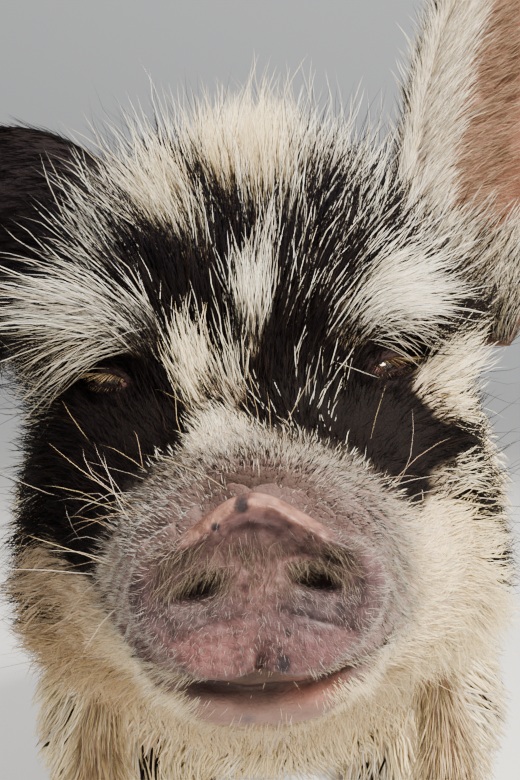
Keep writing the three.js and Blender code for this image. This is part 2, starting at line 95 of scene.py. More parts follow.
# y, top, low, height of the widest point, half width, fullness above and below, coat on top, side and below
STATIONS = np.array([
    [0, 17.3, -17.5, -2, 24.4, 1.45, 2.3, 0, 0, 0],
    [3, 17.3, -17.5, -2, 24.8, 1.5, 2.3, 0, 0, 0],
    [6.5, 15.4, -21, -2, 24.0, 1.7, 2.2, 0.2, 0.5, 0.3],
    [11, 17.2, -31, -3, 25.2, 1.9, 2.2, 1, 1.5, 1.2],
    [20, 19.6, -33.5, -4, 28.5, 2.1, 2.2, 2, 3, 2.5],
    [32, 23, -35.5, -5, 33, 2.15, 2.2, 3.5, 4, 4],
    [45, 27, -38, -7, 39.5, 2.1, 2.2, 4.5, 5, 6],
    [57, 33.5, -41, -10, 47, 2.0, 2.2, 5.5, 6, 7],
    [66, 45, -43.5, -12, 52, 2.05, 2.2, 6, 7, 8],
    [74, 63, -46, -13, 55.5, 2.15, 2.2, 7, 8, 9],
    [82, 79, -48.5, -13, 58.5, 2.3, 2.2, 8, 9, 10],
    [92, 93, -52, -13, 61.5, 2.4, 2.2, 11, 10, 11],
    [105, 103, -57, -12, 64, 2.45, 2.2, 14, 10, 11],
    [120, 107, -64, -10, 66, 2.4, 2.2, 16, 10, 11],
    [138, 106, -73, -8, 69, 2.3, 2.2, 15, 10, 11],
    [160, 101, -86, -8, 74, 2.25, 2.2, 13, 9, 11],
    [185, 93, -103, -14, 82, 2.2, 2.2, 13, 9, 11],
    [215, 83, -120, -24, 91, 2.2, 2.2, 13, 9, 11],
    [250, 74, -133, -32, 98, 2.2, 2.2, 12, 9, 11],
    [300, 67, -143, -38, 103, 2.2, 2.2, 11, 9, 10],
    [355, 64, -149, -42, 106, 2.2, 2.2, 11, 9, 10],
    [410, 63, -147, -40, 104, 2.2, 2.2, 11, 9, 10],
    [460, 59, -137, -34, 98, 2.2, 2.2, 11, 9, 10],
    [500, 49, -118, -26, 86, 2.2, 2.2, 11, 9, 9],
    [528, 32, -96, -22, 66, 2.2, 2.2, 10, 9, 9],
    [545, 13, -70, -22, 43, 2.1, 2.1, 9, 9, 9],
    [554, -6, -46, -24, 20, 2, 2, 8, 8, 8],
], float)
# height above the ground, x, y, half sizes across and along
FORELEG = np.array([
    [185, 52, 228, 34, 44], [145, 58, 230, 36, 44], [116, 60, 230, 31, 36], [94, 60, 229, 24.5, 27.5],
    [74, 59, 227, 20, 21.5], [56, 59, 227, 16.5, 17.5], [39, 59, 226, 16.6, 18], [27, 59, 223, 16.2, 18],
    [17.5, 59, 219, 16.4, 19.2],
], float)
HINDLEG = np.array([
    [215, 46, 464, 38, 54], [178, 53, 468, 42, 57], [142, 57, 470, 38, 50], [114, 58, 478, 29, 37],
    [94, 58, 487, 22, 27], [77, 57.5, 492, 18, 22], [58, 57.5, 489, 15.5, 17.8], [39, 57.5, 484, 15.8, 17.6],
    [27, 57.5, 480, 15.6, 17.6], [17.5, 57.5, 476, 16, 18.8],
], float)
HOOF = dict(high=20, wide=14.6, long=37, apart=16)
DEW = dict(apart=19, top=41, tip=17.5, back=14, radii=[5.2, 5.6, 5.4, 3.4])
LEFT_EAR = dict(
    line=[[67, 121, 50], [75, 121, 81], [84, 119, 113], [91, 116, 146], [95, 112, 181]],
    side=[[0.8, 0.1, -0.55], [0.98, -0.15, -0.1]], cup=[1.2, 0.5], skin=[7.0, 2.6], shrink=2.0, wide=EAR_WIDE, base=0.62)
RIGHT_EAR = dict(
    line=[[-45, 127, 80], [-57, 124, 89], [-70, 121, 93], [-84, 120.5, 91], [-95, 124, 81], [-101, 130, 66],
          [-104, 136, 49], [-104, 140, 34]],
    side=[[-0.4, 0.15, -0.9], [0.25, -0.1, -0.95], [0.68, -0.72, -0.1]], cup=[0.75, 0.45], skin=[7.0, 2.8], shrink=2.0,
    wide=EAR_WIDE * 1.18, base=0.9)
TAIL = dict(line=[[0, 534, 6], [0, 563, 2], [3, 582, -16], [5, 588, -48], [3, 584, -86], [0, 580, -118]],
            radii=[14, 11, 8, 6.5, 5.2, 4.2, 1.5])
WATTLES = {1: [[49, 111, -48], [53, 110, -64], [54, 109, -79], [54, 109, -93]],
           -1: [[-48, 112, -49], [-52, 113, -65], [-53, 113, -80], [-53, 112, -94]]}
WATTLE_R = [6.4, 5.4, 5.6, 6.8, 6.4, 3.4]


# ------------------------------------------------------------------ helpers
def smooth(a, b, t):
    s = np.clip((t - a) / (b - a), 0.0, 1.0)
    return s * s * (3 - 2 * s)


def gauss(t):
    return np.exp(-np.square(t))


def unit(v):
    return v / np.maximum(np.linalg.norm(v, axis=-1, keepdims=True), 1e-9)


def lerp(a, b, t):
    return a + (b - a) * t


def srgb(r, g, b):
    c = np.array([r, g, b], float) / 255
    return np.where(c <= 0.04045, c / 12.92, ((c + 0.055) / 1.055) ** 2.4)


def curve_through(xs, ys):
    """A curve through given values that never overshoots between them."""
    xs, ys = np.asarray(xs, float), np.asarray(ys, float)
    n = len(xs)
    h = np.diff(xs)
    d = np.diff(ys) / h
    m = np.zeros(n)
    m[0], m[-1] = d[0], d[-1]
    for i in range(1, n - 1):
        if d[i - 1] * d[i] > 0:
            w1, w2 = 2 * h[i] + h[i - 1], h[i] + 2 * h[i - 1]
            m[i] = (w1 + w2) / (w1 / d[i - 1] + w2 / d[i])

    def f(x):
        x = np.clip(np.asarray(x, float), xs[0], xs[-1])
        i = np.clip(np.searchsorted(xs, x, side="right") - 1, 0, n - 2)
        t = (x - xs[i]) / h[i]
        t2, t3 = t * t, t * t * t
        return ((2 * t3 - 3 * t2 + 1) * ys[i] + (t3 - 2 * t2 + t) * h[i] * m[i] + (3 * t2 - 2 * t3) * ys[i + 1]
                + (t3 - t2) * h[i] * m[i + 1])

    return f


def _hash(ix, iy, iz, seed):
    with np.errstate(over="ignore"):
        n = (ix.astype(np.uint32) * np.uint32(374761393) + iy.astype(np.uint32) * np.uint32(668265263)
             + iz.astype(np.uint32) * np.uint32(2246822519) + np.uint32(seed * 3266489917 & 0xFFFFFFFF))
        n = (n ^ (n >> np.uint32(13))) * np.uint32(1274126177)
        n = n ^ (n >> np.uint32(16))
    return (n & np.uint32(0xFFFFFF)).astype(float) / 0xFFFFFF


def vnoise(p, size, seed=0):
    """Smooth value noise from -1 to 1 with features of about the given size, in millimetres."""
    q = np.asarray(p, float) / np.asarray(size, float) + 1000.0
    i = np.floor(q).astype(np.int64)
    f = q - i
    f = f * f * (3 - 2 * f)
    out = 0
    for dx in (0, 1):
        for dy in (0, 1):
            for dz in (0, 1):
                w = (np.where(dx, f[..., 0], 1 - f[..., 0]) * np.where(dy, f[..., 1], 1 - f[..., 1])
                     * np.where(dz, f[..., 2], 1 - f[..., 2]))
                out = out + w * _hash(i[..., 0] + dx, i[..., 1] + dy, i[..., 2] + dz, seed)
    return out * 2 - 1


def fbm(p, size, seed=0, octaves=3):
    size = np.asarray(size, float)
    out, amp, total = 0, 1.0, 0.0
    for k in range(octaves):
        out = out + amp * vnoise(p, size / 2**k, seed + 17 * k)
        total += amp
        amp *= 0.5
    return out / total


def catmull(points, count=600):
    """Points and tangents at even steps along a centripetal curve through the given points."""
    P = np.array(points, float)
    pts = []
    n = len(P)
    for i in range(n - 1):
        p1, p2 = P[i], P[i + 1]
        p0 = P[i - 1] if i > 0 else 2 * P[0] - P[1]
        p3 = P[i + 2] if i + 2 < n else 2 * P[-1] - P[-2]
        d0, d1, d2 = (np.sqrt(np.linalg.norm(b - a)) for a, b in ((p0, p1), (p1, p2), (p2, p3)))
        t1 = ((p1 - p0) / d0 - (p2 - p0) / (d0 + d1) + (p2 - p1) / d1) * d1
        t2 = ((p2 - p1) / d1 - (p3 - p1) / (d1 + d2) + (p3 - p2) / d2) * d1
        t = np.linspace(0, 1, 200, endpoint=(i == n - 2))[:, None]
        pts.append(p1 + t1 * t + (-3 * p1 + 3 * p2 - 2 * t1 - t2) * t**2 + (2 * p1 - 2 * p2 + t1 + t2) * t**3)
    pts = np.concatenate(pts)
    s = np.concatenate([[0], np.cumsum(np.linalg.norm(np.diff(pts, axis=0), axis=1))])
    even = np.linspace(0, s[-1], count)
    C = np.stack([np.interp(even, s, pts[:, k]) for k in range(3)], 1)
    T = unit(np.gradient(C, axis=0))
    return C, T, s[-1]


# the shift from the snout disc's frame to the row's frame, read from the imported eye
_lo, _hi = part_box("eye_left")
_centre = EYE_AT - EYE_OUT * (EYE_R + 0.4)
SHIFT = (np.array(_lo) + np.array(_hi)) * 500.0 - _centre
SHIFT[2] = DISC_HEIGHT


def place(p):
    return (np.asarray(p, float) + SHIFT) / 1000.0


# ------------------------------------------------------------------ the camera
cam_data = bpy.data.cameras.new("camera")
cam = bpy.data.objects.new("camera", cam_data)
bpy.context.scene.collection.objects.link(cam)
cam_data.sensor_fit = "AUTO"
cam_data.sensor_width = 36.0
cam_data.lens = 36.0 * 930.0 / 780.0
cam_data.clip_start = 0.01
cam_data.clip_end = 50
CAM_AT = np.array([2.6, -175.0, 36.7])
cam.matrix_world = (Matrix.Translation(Vector(place(CAM_AT))) @ Matrix.Rotation(math.radians(90), 4, "X")
                    @ Matrix.Rotation(math.radians(-3), 4, "Z"))
bpy.context.scene.camera = cam

# ------------------------------------------------------------------ slices of the body
_y = STATIONS[:, 0]
(TOP, LOW, WIDE, HALF, UP, DOWN, C_TOP, C_SIDE, C_LOW) = (curve_through(_y, STATIONS[:, k]) for k in range(1, 10))
# the snout disc's rim, as a radius round (0, -2): a low peak in the middle, falling to rounded corners
_rim = curve_through(
    [-90, -80, -68, -60, -51, -35, -12, 0, 12, 20, 27, 34, 42, 52, 63, 75, 84, 90],
    [14.5, 15.7, 17.7, 18.7, 19.7, 21.1, 23.8, 24.6, 24.1, 22.5, 20.8, 19.2, 18.1, 17.6, 17.8, 18.6, 19.1, 19.3])


def rim_radius(a):
    e = np.degrees(np.arcsin(np.clip(np.sin(a), -1, 1)))
    return _rim(e)


def outline(y, a):
    w, s, c = WIDE(y), np.sin(a), np.cos(a)
    above = s >= 0
    h = np.where(above, TOP(y) - w, w - LOW(y))
    n = np.where(above, UP(y), DOWN(y))
    r = (np.abs(c) ** n + np.abs(s) ** n) ** (-1 / n)
    x, z = HALF(y) * c * r, h * s * r
    k = 1 - smooth(2.5, 11.5, y)
    own = np.hypot(x, z)
    turn = np.arctan2(z, x)
    want = lerp(own, rim_radius(turn), k)
    return want * np.cos(turn), w + want * np.sin(turn)


COLS = 300
ANG = np.linspace(0, 2 * PI, COLS, endpoint=False) + PI / 2 * 0
ROW_Y = np.unique(np.round(np.concatenate([
    np.arange(1.8, 14, 0.36), np.arange(14, 42, 0.8), np.arange(42, 112, 1.15), np.arange(112, 160, 2.0),
    np.arange(160, 230, 3.5), np.arange(230, 500, 6.0), np.arange(500, 554.1, 3.0)]), 3))


def body_grid():
    A, Y = np.meshgrid(ANG, ROW_Y)
    X, Z = outline(Y, A)
    Y = Y - 0.06 * Z * (1 - smooth(2, 9, Y))
    side = np.stack([X, Y, Z], -1)
    # the face of the disc, in rings from its middle out
    rings = 64
    rho = np.linspace(0, 1, rings + 1)[1:-1]
    rim = side[0]
    mid = np.array([0, 0, -2.0])
    face = mid + rho[:, None, None] * (rim[None] - mid)
    face[..., 1] = -0.06 * face[..., 2]
    edge = np.clip((rho - 0.86) / 0.14, 0, 1)
    face[..., 1] += (1.8 * (1 - np.sqrt(1 - np.minimum(edge, 0.999) ** 2)))[:, None]
    # behind, rings close over the rump's end
    end = np.array([0, 558.0, -25])
    last = side[-1]
    back = []
    for t in (0.3, 0.55, 0.78):
        r = last + (end - last) * t
        r[:, 1] = last[:, 1] + (558.0 - last[:, 1]) * math.sin(t * PI / 2)
        back.append(r)
    P = np.concatenate([face, side, np.array(back)])
    return P, mid + np.array([0, 0.0, 0]), end, len(rho)


def grid_normals(P):
    du = np.roll(P, -1, 1) - np.roll(P, 1, 1)
    dv = np.gradient(P, axis=0)
    return unit(np.cross(du, dv))


P, POLE_A, POLE_B, N_FACE = body_grid()


# ------------------------------------------------------------------ sculpting the disc and the snout
def nostril_q(x, z):
    """Elliptical distance from the nearer nostril's middle: 1 at its edge."""
    ax = np.abs(x)
    dx, dz = ax - 11.2, z - 0.045 * x
    t = math.radians(-17)
    return np.sqrt(((dx * math.cos(t) + dz * math.sin(t)) / 4.7) ** 2
                   + ((-dx * math.sin(t) + dz * math.cos(t)) / 2.3) ** 2)


def disc_relief(p):
    """How far the disc's face stands forward, in millimetres."""
    x, z = p[..., 0], p[..., 2]
    a = np.arctan2(z + 2, x)
    rho = np.hypot(x, z + 2) / rim_radius(a)
    top = smooth(0.05, 0.75, np.sin(a))
    side = 1 - np.abs(np.sin(a))
    f = 1.9 * gauss((rho - 0.905) / 0.075) * top + 0.7 * gauss((rho - 0.88) / 0.09) * (1 - top)
    f -= 0.9 * gauss((rho - 0.74) / 0.07) * top
    f += 0.5 * gauss((rho - 0.80) / 0.14) * side
    f -= 1.4 * gauss((z - 5.0) / 4.2) * gauss(x / 18.5)
    f += 1.9 * gauss((np.abs(x) - 9.2) / 5.4) * gauss((z + 12.0) / 4.2)
    f += 0.8 * gauss((np.abs(x) - 13.5) / 4.5) * gauss((z + 5.5) / 2.6)
    f -= 2.0 * gauss((x + 0.5) / 1.3) * smooth(-9.5, -15.5, z)
    f -= 0.7 * gauss((x + 0.3) / 2.6) * smooth(-6, -13, z)
    f += 0.9 * gauss(x / 4.0) * gauss((z + 0.5) / 4.6)
    f -= 0.7 * gauss((z + 5.4 + 0.016 * x * x - 0.05 * x) / 0.9) * smooth(20, 13, np.abs(x)) * smooth(1.5, 4, np.abs(x))
    f -= 0.45 * gauss((z + 3.4 - 0.3 * np.abs(x)) / 0.7) * gauss(x / 5.5)
    q = nostril_q(x, z)
    f += 0.75 * gauss((q - 1.5) / 0.42) * np.where(z > 0.4, 1.25, 0.8)
    pit = 1 - smooth(0.30, 1.22, q)
    f -= 8.5 * pit + 0.9 * (1 - smooth(0.9, 2.0, q))
    f += 0.34 * fbm(p, 3.0, 5, 3) + 0.16 * vnoise(p, 1.1, 8)
    return f * (1 - smooth(0.93, 1.0, rho) * 0.6)


face = P[:N_FACE]
face[..., 1] -= disc_relief(face)
# nostrils run back and a little up and in
q = nostril_q(face[..., 0], face[..., 2])
pit = 1 - smooth(0.30, 1.22, q)
face[..., 2] += 2.0 * pit**2
POLE_A = np.array([0, float(face[0, :, 1].mean()), -2.0])

N = grid_normals(P)
if np.mean(N[N_FACE + 20 : -8, :, 0] * P[N_FACE + 20 : -8, :, 0]) < 0:
    N = -N
S = P[N_FACE:]
NS = N[N_FACE:]
x, y, z = S[..., 0].copy(), S[..., 1].copy(), S[..., 2].copy()
sin_a = np.sin(np.arctan2(z - WIDE(y), x))
D = np.zeros(x.shape)
# folds arching over the disc
on_top = smooth(0.05, 0.55, sin_a)
wob = y + 0.9 * np.sin(x * 0.33 + 0.8) * 0.6 + 0.8 * vnoise(S, 7.0, 3) + 0.03 * x
lump = 0.75 + 0.55 * vnoise(S, 4.2, 11)
D -= 1.9 * gauss((wob - 5.6) / 1.3) * (0.35 + 0.65 * on_top)
D += 3.0 * gauss((wob - 8.4) / 1.4) * on_top * lump
D -= 1.7 * gauss((wob - 11.0) / 0.8) * on_top
D -= 0.9 * gauss(np.sin(x * 0.62 + 0.9 * vnoise(S, 6, 14)) / 0.30) * on_top * gauss((wob - 9.6) / 3.4)
D += 2.5 * gauss((wob - 13.4) / 1.6) * on_top * (0.7 + 0.6 * vnoise(S, 5.0, 12))
D -= 1.4 * gauss((wob - 16.2) / 0.8) * on_top
D += 1.1 * gauss((wob - 18.6) / 1.5) * on_top
D -= 0.9 * gauss((wob - 21.4) / 0.9) * on_top
D -= 0.35 * gauss((wob - 25.0) / 1.2) * on_top
# slanting wrinkles on the side of the snout
slant = y * 0.8 + z * 0.9
D += 0.4 * np.sin(slant * 0.95 + 2.2 * vnoise(S, 11, 4)) * smooth(9, 15, y) * smooth(48, 30, y) * gauss(sin_a / 0.6)
# the mouth: a crease under the disc that runs back and up to the corner
mouth = np.where(y < 12, -22.2 + 3.2 * (np.abs(x) / 17.0) ** 2, -19.2 + 0.13 * y)
mouth = lerp(-22.4 + 3.0 * (np.abs(x) / 17.0) ** 2, -19.0 + 0.135 * y, smooth(7, 15, y))
dm = z - mouth - 0.25 * np.sin(x * 0.5)
along = smooth(4.2, 6.2, y) * (1 - smooth(56, 68, y))
D -= (1.9 - 1.2 * smooth(9, 17, y)) * gauss(dm / 0.75) * along
D += 1.0 * gauss((dm - 2.7) / 1.8) * along * smooth(6, 10, y)
D += (1.25 - 0.7 * smooth(9, 17, y)) * gauss((dm + 3.2) / 2.2) * along
lower_lip = gauss((z + 26.8) / 2.6) * gauss(x / 15.0) * (1 - smooth(10, 19, y))
D += 0.9 * lower_lip
D -= 0.55 * gauss((z + 30.6) / 1.0) * gauss(x / 13.0) * (1 - smooth(12, 22, y))
# bulges and hollows of the head
ax = np.abs(x)


def bump(cx, cy, cz, rx, ry, rz, h, both=True):
    xx = ax if both else x
    return h * np.exp(-(((xx - cx) / rx) ** 2 + ((y - cy) / ry) ** 2 + ((z - cz) / rz) ** 2))


D += bump(36, 84, 58, 15, 12, 9, 3.2)  # brow
D += bump(47, 74, 20, 14, 16, 11, 2.6)  # under the eye
D += bump(58, 100, -26, 20, 28, 24, 4.5)  # jowl
D -= bump(66, 140, -20, 22, 13, 40, 3.0)  # behind the jowl
D -= bump(20, 62, 30, 8, 14, 10, 1.8)  # between snout and eye
D += bump(0, 88, 84, 16, 14, 16, 1.6)  # forehead's middle
D += bump(0, 45, 26, 9, 22, 7, 1.2)  # bridge of the snout
# neck folds and the trunk's muscles
D -= 1.6 * gauss((y - 152 + 0.25 * z) / 4.0) * smooth(0.5, -0.3, sin_a)
D -= 1.3 * gauss((y - 176 + 0.22 * z) / 5.0) * smooth(0.6, -0.4, sin_a)
D += bump(88, 236, 0, 34, 26, 56, 6.0)  # shoulder
D -= bump(96, 276, 10, 40, 14, 60, 2.5)
D += bump(84, 478, -20, 34, 42, 56, 7.0)  # ham
D -= bump(98, 420, -20, 40, 17, 46, 4.0)  # flank
D -= bump(0, 300, 68, 9, 160, 16, 1.2)  # along the spine
D += 1.1 * fbm(S, 38, 21, 2) * smooth(150, 220, y) + 0.35 * vnoise(S, 9, 22) * smooth(30, 60, y)
D *= 1 - smooth(535, 552, y)
S += NS * D[..., None]


def grid_mesh(P, a, b):
    """Vertices and faces of rows of points closed by a point at each end."""
    r, c = P.shape[:2]
    v = np.concatenate([P.reshape(-1, 3), [a], [b]])
    i = np.arange(r - 1)[:, None] * c
    j = np.arange(c)[None]
    k = (j + 1) % c
    quads = np.stack([i + j, i + k, i + c + k, i + c + j], -1).reshape(-1, 4)
    j = j[0]
    k = k[0]
    t0 = np.stack([np.full(c, r * c), k, j], -1)
    t1 = np.stack([np.full(c, r * c + 1), (r - 1) * c + j, (r - 1) * c + k], -1)
    faces = [quads, np.concatenate([t0, t1])]
    tri = np.concatenate([quads[:, [0, 1, 2]], quads[:, [0, 2, 3]], faces[1]])
    six = np.einsum("ij,ij->i", v[tri[:, 0]], np.cross(v[tri[:, 1]], v[tri[:, 2]])).sum()
    if six < 0:
        faces = [f[:, ::-1] for f in faces]
    return v, faces


def new_mesh(name, v, groups, smooth_it=True):
    """groups is a list of index arrays, each with its own number of corners a face."""
    me = bpy.data.meshes.new(name)
    me.vertices.add(len(v))
    me.vertices.foreach_set("co", np.asarray(v, np.float32).ravel())
    loops = np.concatenate([g.ravel() for g in groups]).astype(np.int32)
    sizes = np.concatenate([np.full(len(g), g.shape[1]) for g in groups])
    starts = np.concatenate([[0], np.cumsum(sizes)[:-1]]).astype(np.int32)
    me.loops.add(len(loops))
    me.loops.foreach_set("vertex_index", loops)
    me.polygons.add(len(sizes))
    me.polygons.foreach_set("loop_start", starts)
    me.update(calc_edges=True)
    me.polygons.foreach_set("use_smooth", np.full(len(sizes), smooth_it))
    return me


def new_object(name, me):
    ob = bpy.data.objects.new(name, me)
    bpy.context.scene.collection.objects.link(ob)
    return ob


v, f = grid_mesh(P, POLE_A, POLE_B)
body_me = new_mesh("skin_body", v, f)


# ------------------------------------------------------------------ eyes: sockets and lids
def eye_axes(side):
    out = EYE_OUT * [side, 1, 1]
    c = EYE_AT * [side, 1, 1] - out * (EYE_R + 0.4)
    e1 = unit(np.cross([0, 0, 1], out) * side)
    e2 = np.cross(out, e1)
    if e2[2] < 0:
        e2 = -e2
    t = math.radians(9)
    return c, e1 * math.cos(t) + e2 * math.sin(t), e2 * math.cos(t) - e1 * math.sin(t), out


SLIT, LID_UP, LID_LOW = 6.2, 1.75, 1.1


def lid_distance(a, b):
    """About how far outside the lid opening a point is."""
    h = np.where(b > 0, LID_UP, LID_LOW)
    q = np.sqrt((a / SLIT) ** 2 + (b / h) ** 2)
    return (q - 1) * np.hypot(a, b) / np.maximum(q, 1e-3)


bm = bmesh.new()
bm.from_mesh(body_me)
near = set()
for side in (1, -1):
    c, e1, e2, out = eye_axes(side)
    c, out = Vector(c), Vector(out)
    for fc in bm.faces:
        d = fc.calc_center_median() - c
        along_out = d.dot(out)
        if along_out > 0 and (d - out * along_out).length < 11.5 and d.length < 26:
            near.update(fc.edges)
bmesh.ops.subdivide_edges(bm, edges=list(near), cuts=3, use_grid_fill=True)
bmesh.ops.triangulate(bm, faces=[fc for fc in bm.faces if len(fc.verts) > 4])
bm.to_mesh(body_me)
bm.free()
co = np.zeros(len(body_me.vertices) * 3)
body_me.vertices.foreach_get("co", co)
co = co.reshape(-1, 3)
for side in (1, -1):
    c, e1, e2, out = eye_axes(side)
    w = co - c
    a, b, h = w @ e1, w @ e2, w @ out
    r = np.hypot(a, b)
    pick = (h > 0) & (r < 24) & (np.linalg.norm(w, axis=1) < 32)
    a, b, h, r = a[pick], b[pick], h[pick], r[pick]
    f = lid_distance(a, b)
    lid = np.sqrt(np.maximum((EYE_R + 1.55) ** 2 - r**2, 9.0))
    k = 1 - smooth(2.2, 9.5, f)
    new = lerp(h, np.minimum(lid, h + 1), k)
    upper = smooth(-0.8, 0.8, b)
    new += 0.75 * gauss((f - 1.9) / 1.3) * (0.5 + 0.5 * upper)  # the lid's own fullness
    new -= 1.0 * gauss((f - 4.3) / 0.55) * upper * smooth(11, 7, np.abs(a))  # upper crease
    new -= 0.55 * gauss((f - 3.1) / 0.45) * (1 - upper) * smooth(10, 6, np.abs(a))
    new -= 0.45 * gauss((f - 5.6) / 0.6) * (1 - upper) * smooth(11, 7, np.abs(a))
    new += 1.1 * gauss((f - 6.6) / 1.6) * upper
    new += 0.12 * vnoise(co[pick], 1.4, 31) * smooth(0.5, 2, f) * k
    rim = 1 - smooth(0.0, 0.75, f)
    new -= 0.55 * rim**2
    inside = np.sqrt(np.maximum((EYE_R - 1.3) ** 2 - r**2, 1.0))
    new = lerp(new, inside, 1 - smooth(-0.62, 0.06, f))
    co[pick] = c + a[:, None] * e1 + b[:, None] * e2 + new[:, None] * out
body_me.vertices.foreach_set("co", co.astype(np.float32).ravel())
body_me.update()
body_me.polygons.foreach_set("use_smooth", np.ones(len(body_me.polygons), bool))

# ------------------------------------------------------------------ legs, ears, tail, wattles
PARTS = ["body", "leg_fl", "leg_fr", "leg_hl", "leg_hr", "ear_l", "ear_r", "tail", "wattle_l", "wattle_r"]


def leg_grid(rings, side, rows=70, cols=72):
    h = rings[:, 0]
    fx, fy, rx, ry = (curve_through(-h, rings[:, k]) for k in (1, 2, 3, 4))
    H = h[0] + (h[-1] - h[0]) * np.linspace(0, 1, rows)
    A, HH = np.meshgrid(np.linspace(0, 2 * PI, cols, endpoint=False), H)
    ca, sa = np.cos(A), np.sin(A)
    grow = 0.5 * np.cos(2 * A) * 0
    # tendon behind, a flat front, a knuckle at the knee or hock and a swelling at the coronet
    hk = rings[4, 0] if rings is FORELEG else rings[5, 0]
    grow += 1.4 * gauss((HH - hk) / 9) * smooth(0.1, 0.9, -sa) * (1 if rings is FORELEG else -0.2)
    grow += (2.6 if rings is HINDLEG else 0.6) * gauss((HH - hk - 2) / 10) * smooth(0.3, 0.95, sa)
    grow -= 1.3 * gauss((HH - hk + 18) / 12) * gauss((np.abs(sa) - 0.15) / 0.5)
    grow += 1.0 * gauss((HH - 37) / 6) * smooth(0.2, 0.9, sa)
    grow += 0.9 * gauss((HH - 20.5) / 2.2)
    grow -= 1.5 * gauss((HH - 17.5) / 4) * gauss(ca / 0.22)  # the cleft between the claws
    X = side * (fx(-HH) + (rx(-HH) + grow) * ca)
    Y = fy(-HH) + (ry(-HH) + grow) * sa
    G = np.stack([X, Y, HH - DISC_HEIGHT], -1)
    G += 0.3 * vnoise(G, 7, 40)[..., None] * np.stack([ca * side, sa, 0 * ca], -1)
    top = np.array([side * fx(-h[0]), fy(-h[0]), h[0] - DISC_HEIGHT + 6])
    low = np.array([side * fx(-h[-1]), fy(-h[-1]), h[-1] - DISC_HEIGHT])
    return G, top, low


LEAF = curve_through([0, 0.12, 0.25, 0.42, 0.6, 0.76, 0.88, 0.96, 1],
                     [0.72, 0.82, 0.93, 1, 0.94, 0.77, 0.52, 0.27, 0.1])


class Ear:
    def __init__(self, spec):
        self.spec = spec
        self.C, self.T, self.length = catmull(spec["line"])

    def at(self, t, u, k, lift=0.0):
        """The skin's point at t along, u across (-1 to 1) and k +1 on the hollow face, -1 on the back; also the
        directions along, across and out of the skin there."""
        t, u, k = np.broadcast_arrays(np.asarray(t, float), u, k)
        n = len(self.C) - 1
        pos = np.clip(t, 0, 1) * n
        i = np.minimum(pos.astype(int), n - 1)
        fr = (pos - i)[..., None]
        c = self.C[i] * (1 - fr) + self.C[i + 1] * fr
        along = unit(self.T[i] * (1 - fr) + self.T[i + 1] * fr)
        keys = np.array(self.spec["side"], float)
        side = np.stack([np.interp(t, np.linspace(0, 1, len(keys)), keys[:, q]) for q in range(3)], -1)
        side = unit(side - along * (side * along).sum(-1, keepdims=True))
        face = unit(np.cross(side, along))
        c0, c1 = self.spec["cup"]
        cup = c0 + (c1 - c0) * smooth(0, 0.4, t)
        full = self.spec["wide"] / 2 * LEAF(t) * lerp(self.spec["base"], 1.0, smooth(0.0, 0.3, t))
        half = (full - self.spec["shrink"] * (0.5 + 0.5 * t)) * cup / np.sin(cup)
        k0, k1 = self.spec["skin"]
        thick = (k0 + (k1 - k0) * smooth(0, 0.8, t)) / 2
        bend, radius = cup * u, half / cup
        flat = np.sqrt(np.maximum(0, 1 - np.abs(u) ** 5))
        ridge = np.where(k > 0, 0.9 * np.cos(u * 9.5) * gauss(u / 0.62) * (1 - smooth(0.35, 0.75, t)), 0)
        wave = 1.6 * np.sin(t * 9 + u * 1.5) * smooth(0.2, 0.8, t) * np.abs(u) ** 2
        off = k * thick * flat + ridge + wave + lift
        out = -np.sin(bend)[..., None] * side + np.cos(bend)[..., None] * face
        p = (c + side * (radius * np.sin(bend))[..., None] + face * (radius * (1 - np.cos(bend)))[..., None]
             + out * off[..., None])
        across = unit(np.cos(bend)[..., None] * side + np.sin(bend)[..., None] * face)
        return p, along, across, out * np.where(k > 0, 1.0, -1.0)[..., None]

    def grid(self, rows=66, cols=80):
        A, T = np.meshgrid(np.linspace(0, 2 * PI, cols, endpoint=False), np.linspace(0, 1, rows))
        # even steps across each face
        a = (A % PI) / PI
        u = np.where(A < PI, np.cos(a * PI), -np.cos(a * PI))
        G = self.at(T, u, np.where(np.sin(A) >= 0, 1, -1))[0]
        return G, self.C[0] - 3 * self.T[0], self.C[-1] + 1.0 * self.T[-1]


def drop_grid(line, radii, rows=40, cols=36):
    C, T, _ = catmull(line, rows)
    r = curve_through(np.linspace(0, 1, len(radii)), radii)
    t = np.linspace(0.01, 0.985, rows)
    ref = np.array([1.0, 0, 0])
    n = unit(ref - T * (T @ ref)[:, None])
    b = np.cross(T, n)
    a = np.linspace(0, 2 * PI, cols, endpoint=False)
    G = (C[:, None] + r(t)[:, None, None] * (np.cos(a)[None, :, None] * n[:, None] + np.sin(a)[None, :, None] * b[:, None]))
    return G, C[0] - T[0] * 1.0, C[-1] + T[-1] * 1.0


ears = {1: Ear(LEFT_EAR), -1: Ear(RIGHT_EAR)}
growths = [leg_grid(FORELEG, 1), leg_grid(FORELEG, -1), leg_grid(HINDLEG, 1), leg_grid(HINDLEG, -1),
           ears[1].grid(), ears[-1].grid(), drop_grid(TAIL["line"], TAIL["radii"], 60, 40),
           drop_grid(WATTLES[1], WATTLE_R), drop_grid(WATTLES[-1], WATTLE_R)]
marks = [bpy.data.materials.new("part_" + n) for n in PARTS]
vs, fs, ids, base = [], [[], []], [[], []], 0
for k, (G, a, b) in enumerate(growths):
    v, f = grid_mesh(G, a, b)
    vs.append(v)
    for q in (0, 1):
        fs[q].append(f[q] + base)
        ids[q].append(np.full(len(f[q]), k + 1))
    base += len(v)
grown_me = new_mesh("skin_growths", np.concatenate(vs), [np.concatenate(q) for q in fs])
grown_me.polygons.foreach_set("material_index", np.concatenate([np.concatenate(q) for q in ids]).astype(np.int32))
for me in (body_me, grown_me):
    for m in marks:
        me.materials.append(m)
body_ob, grown_ob = new_object("skin", body_me), new_object("growths", grown_me)
cut = body_ob.modifiers.new("join", "BOOLEAN")
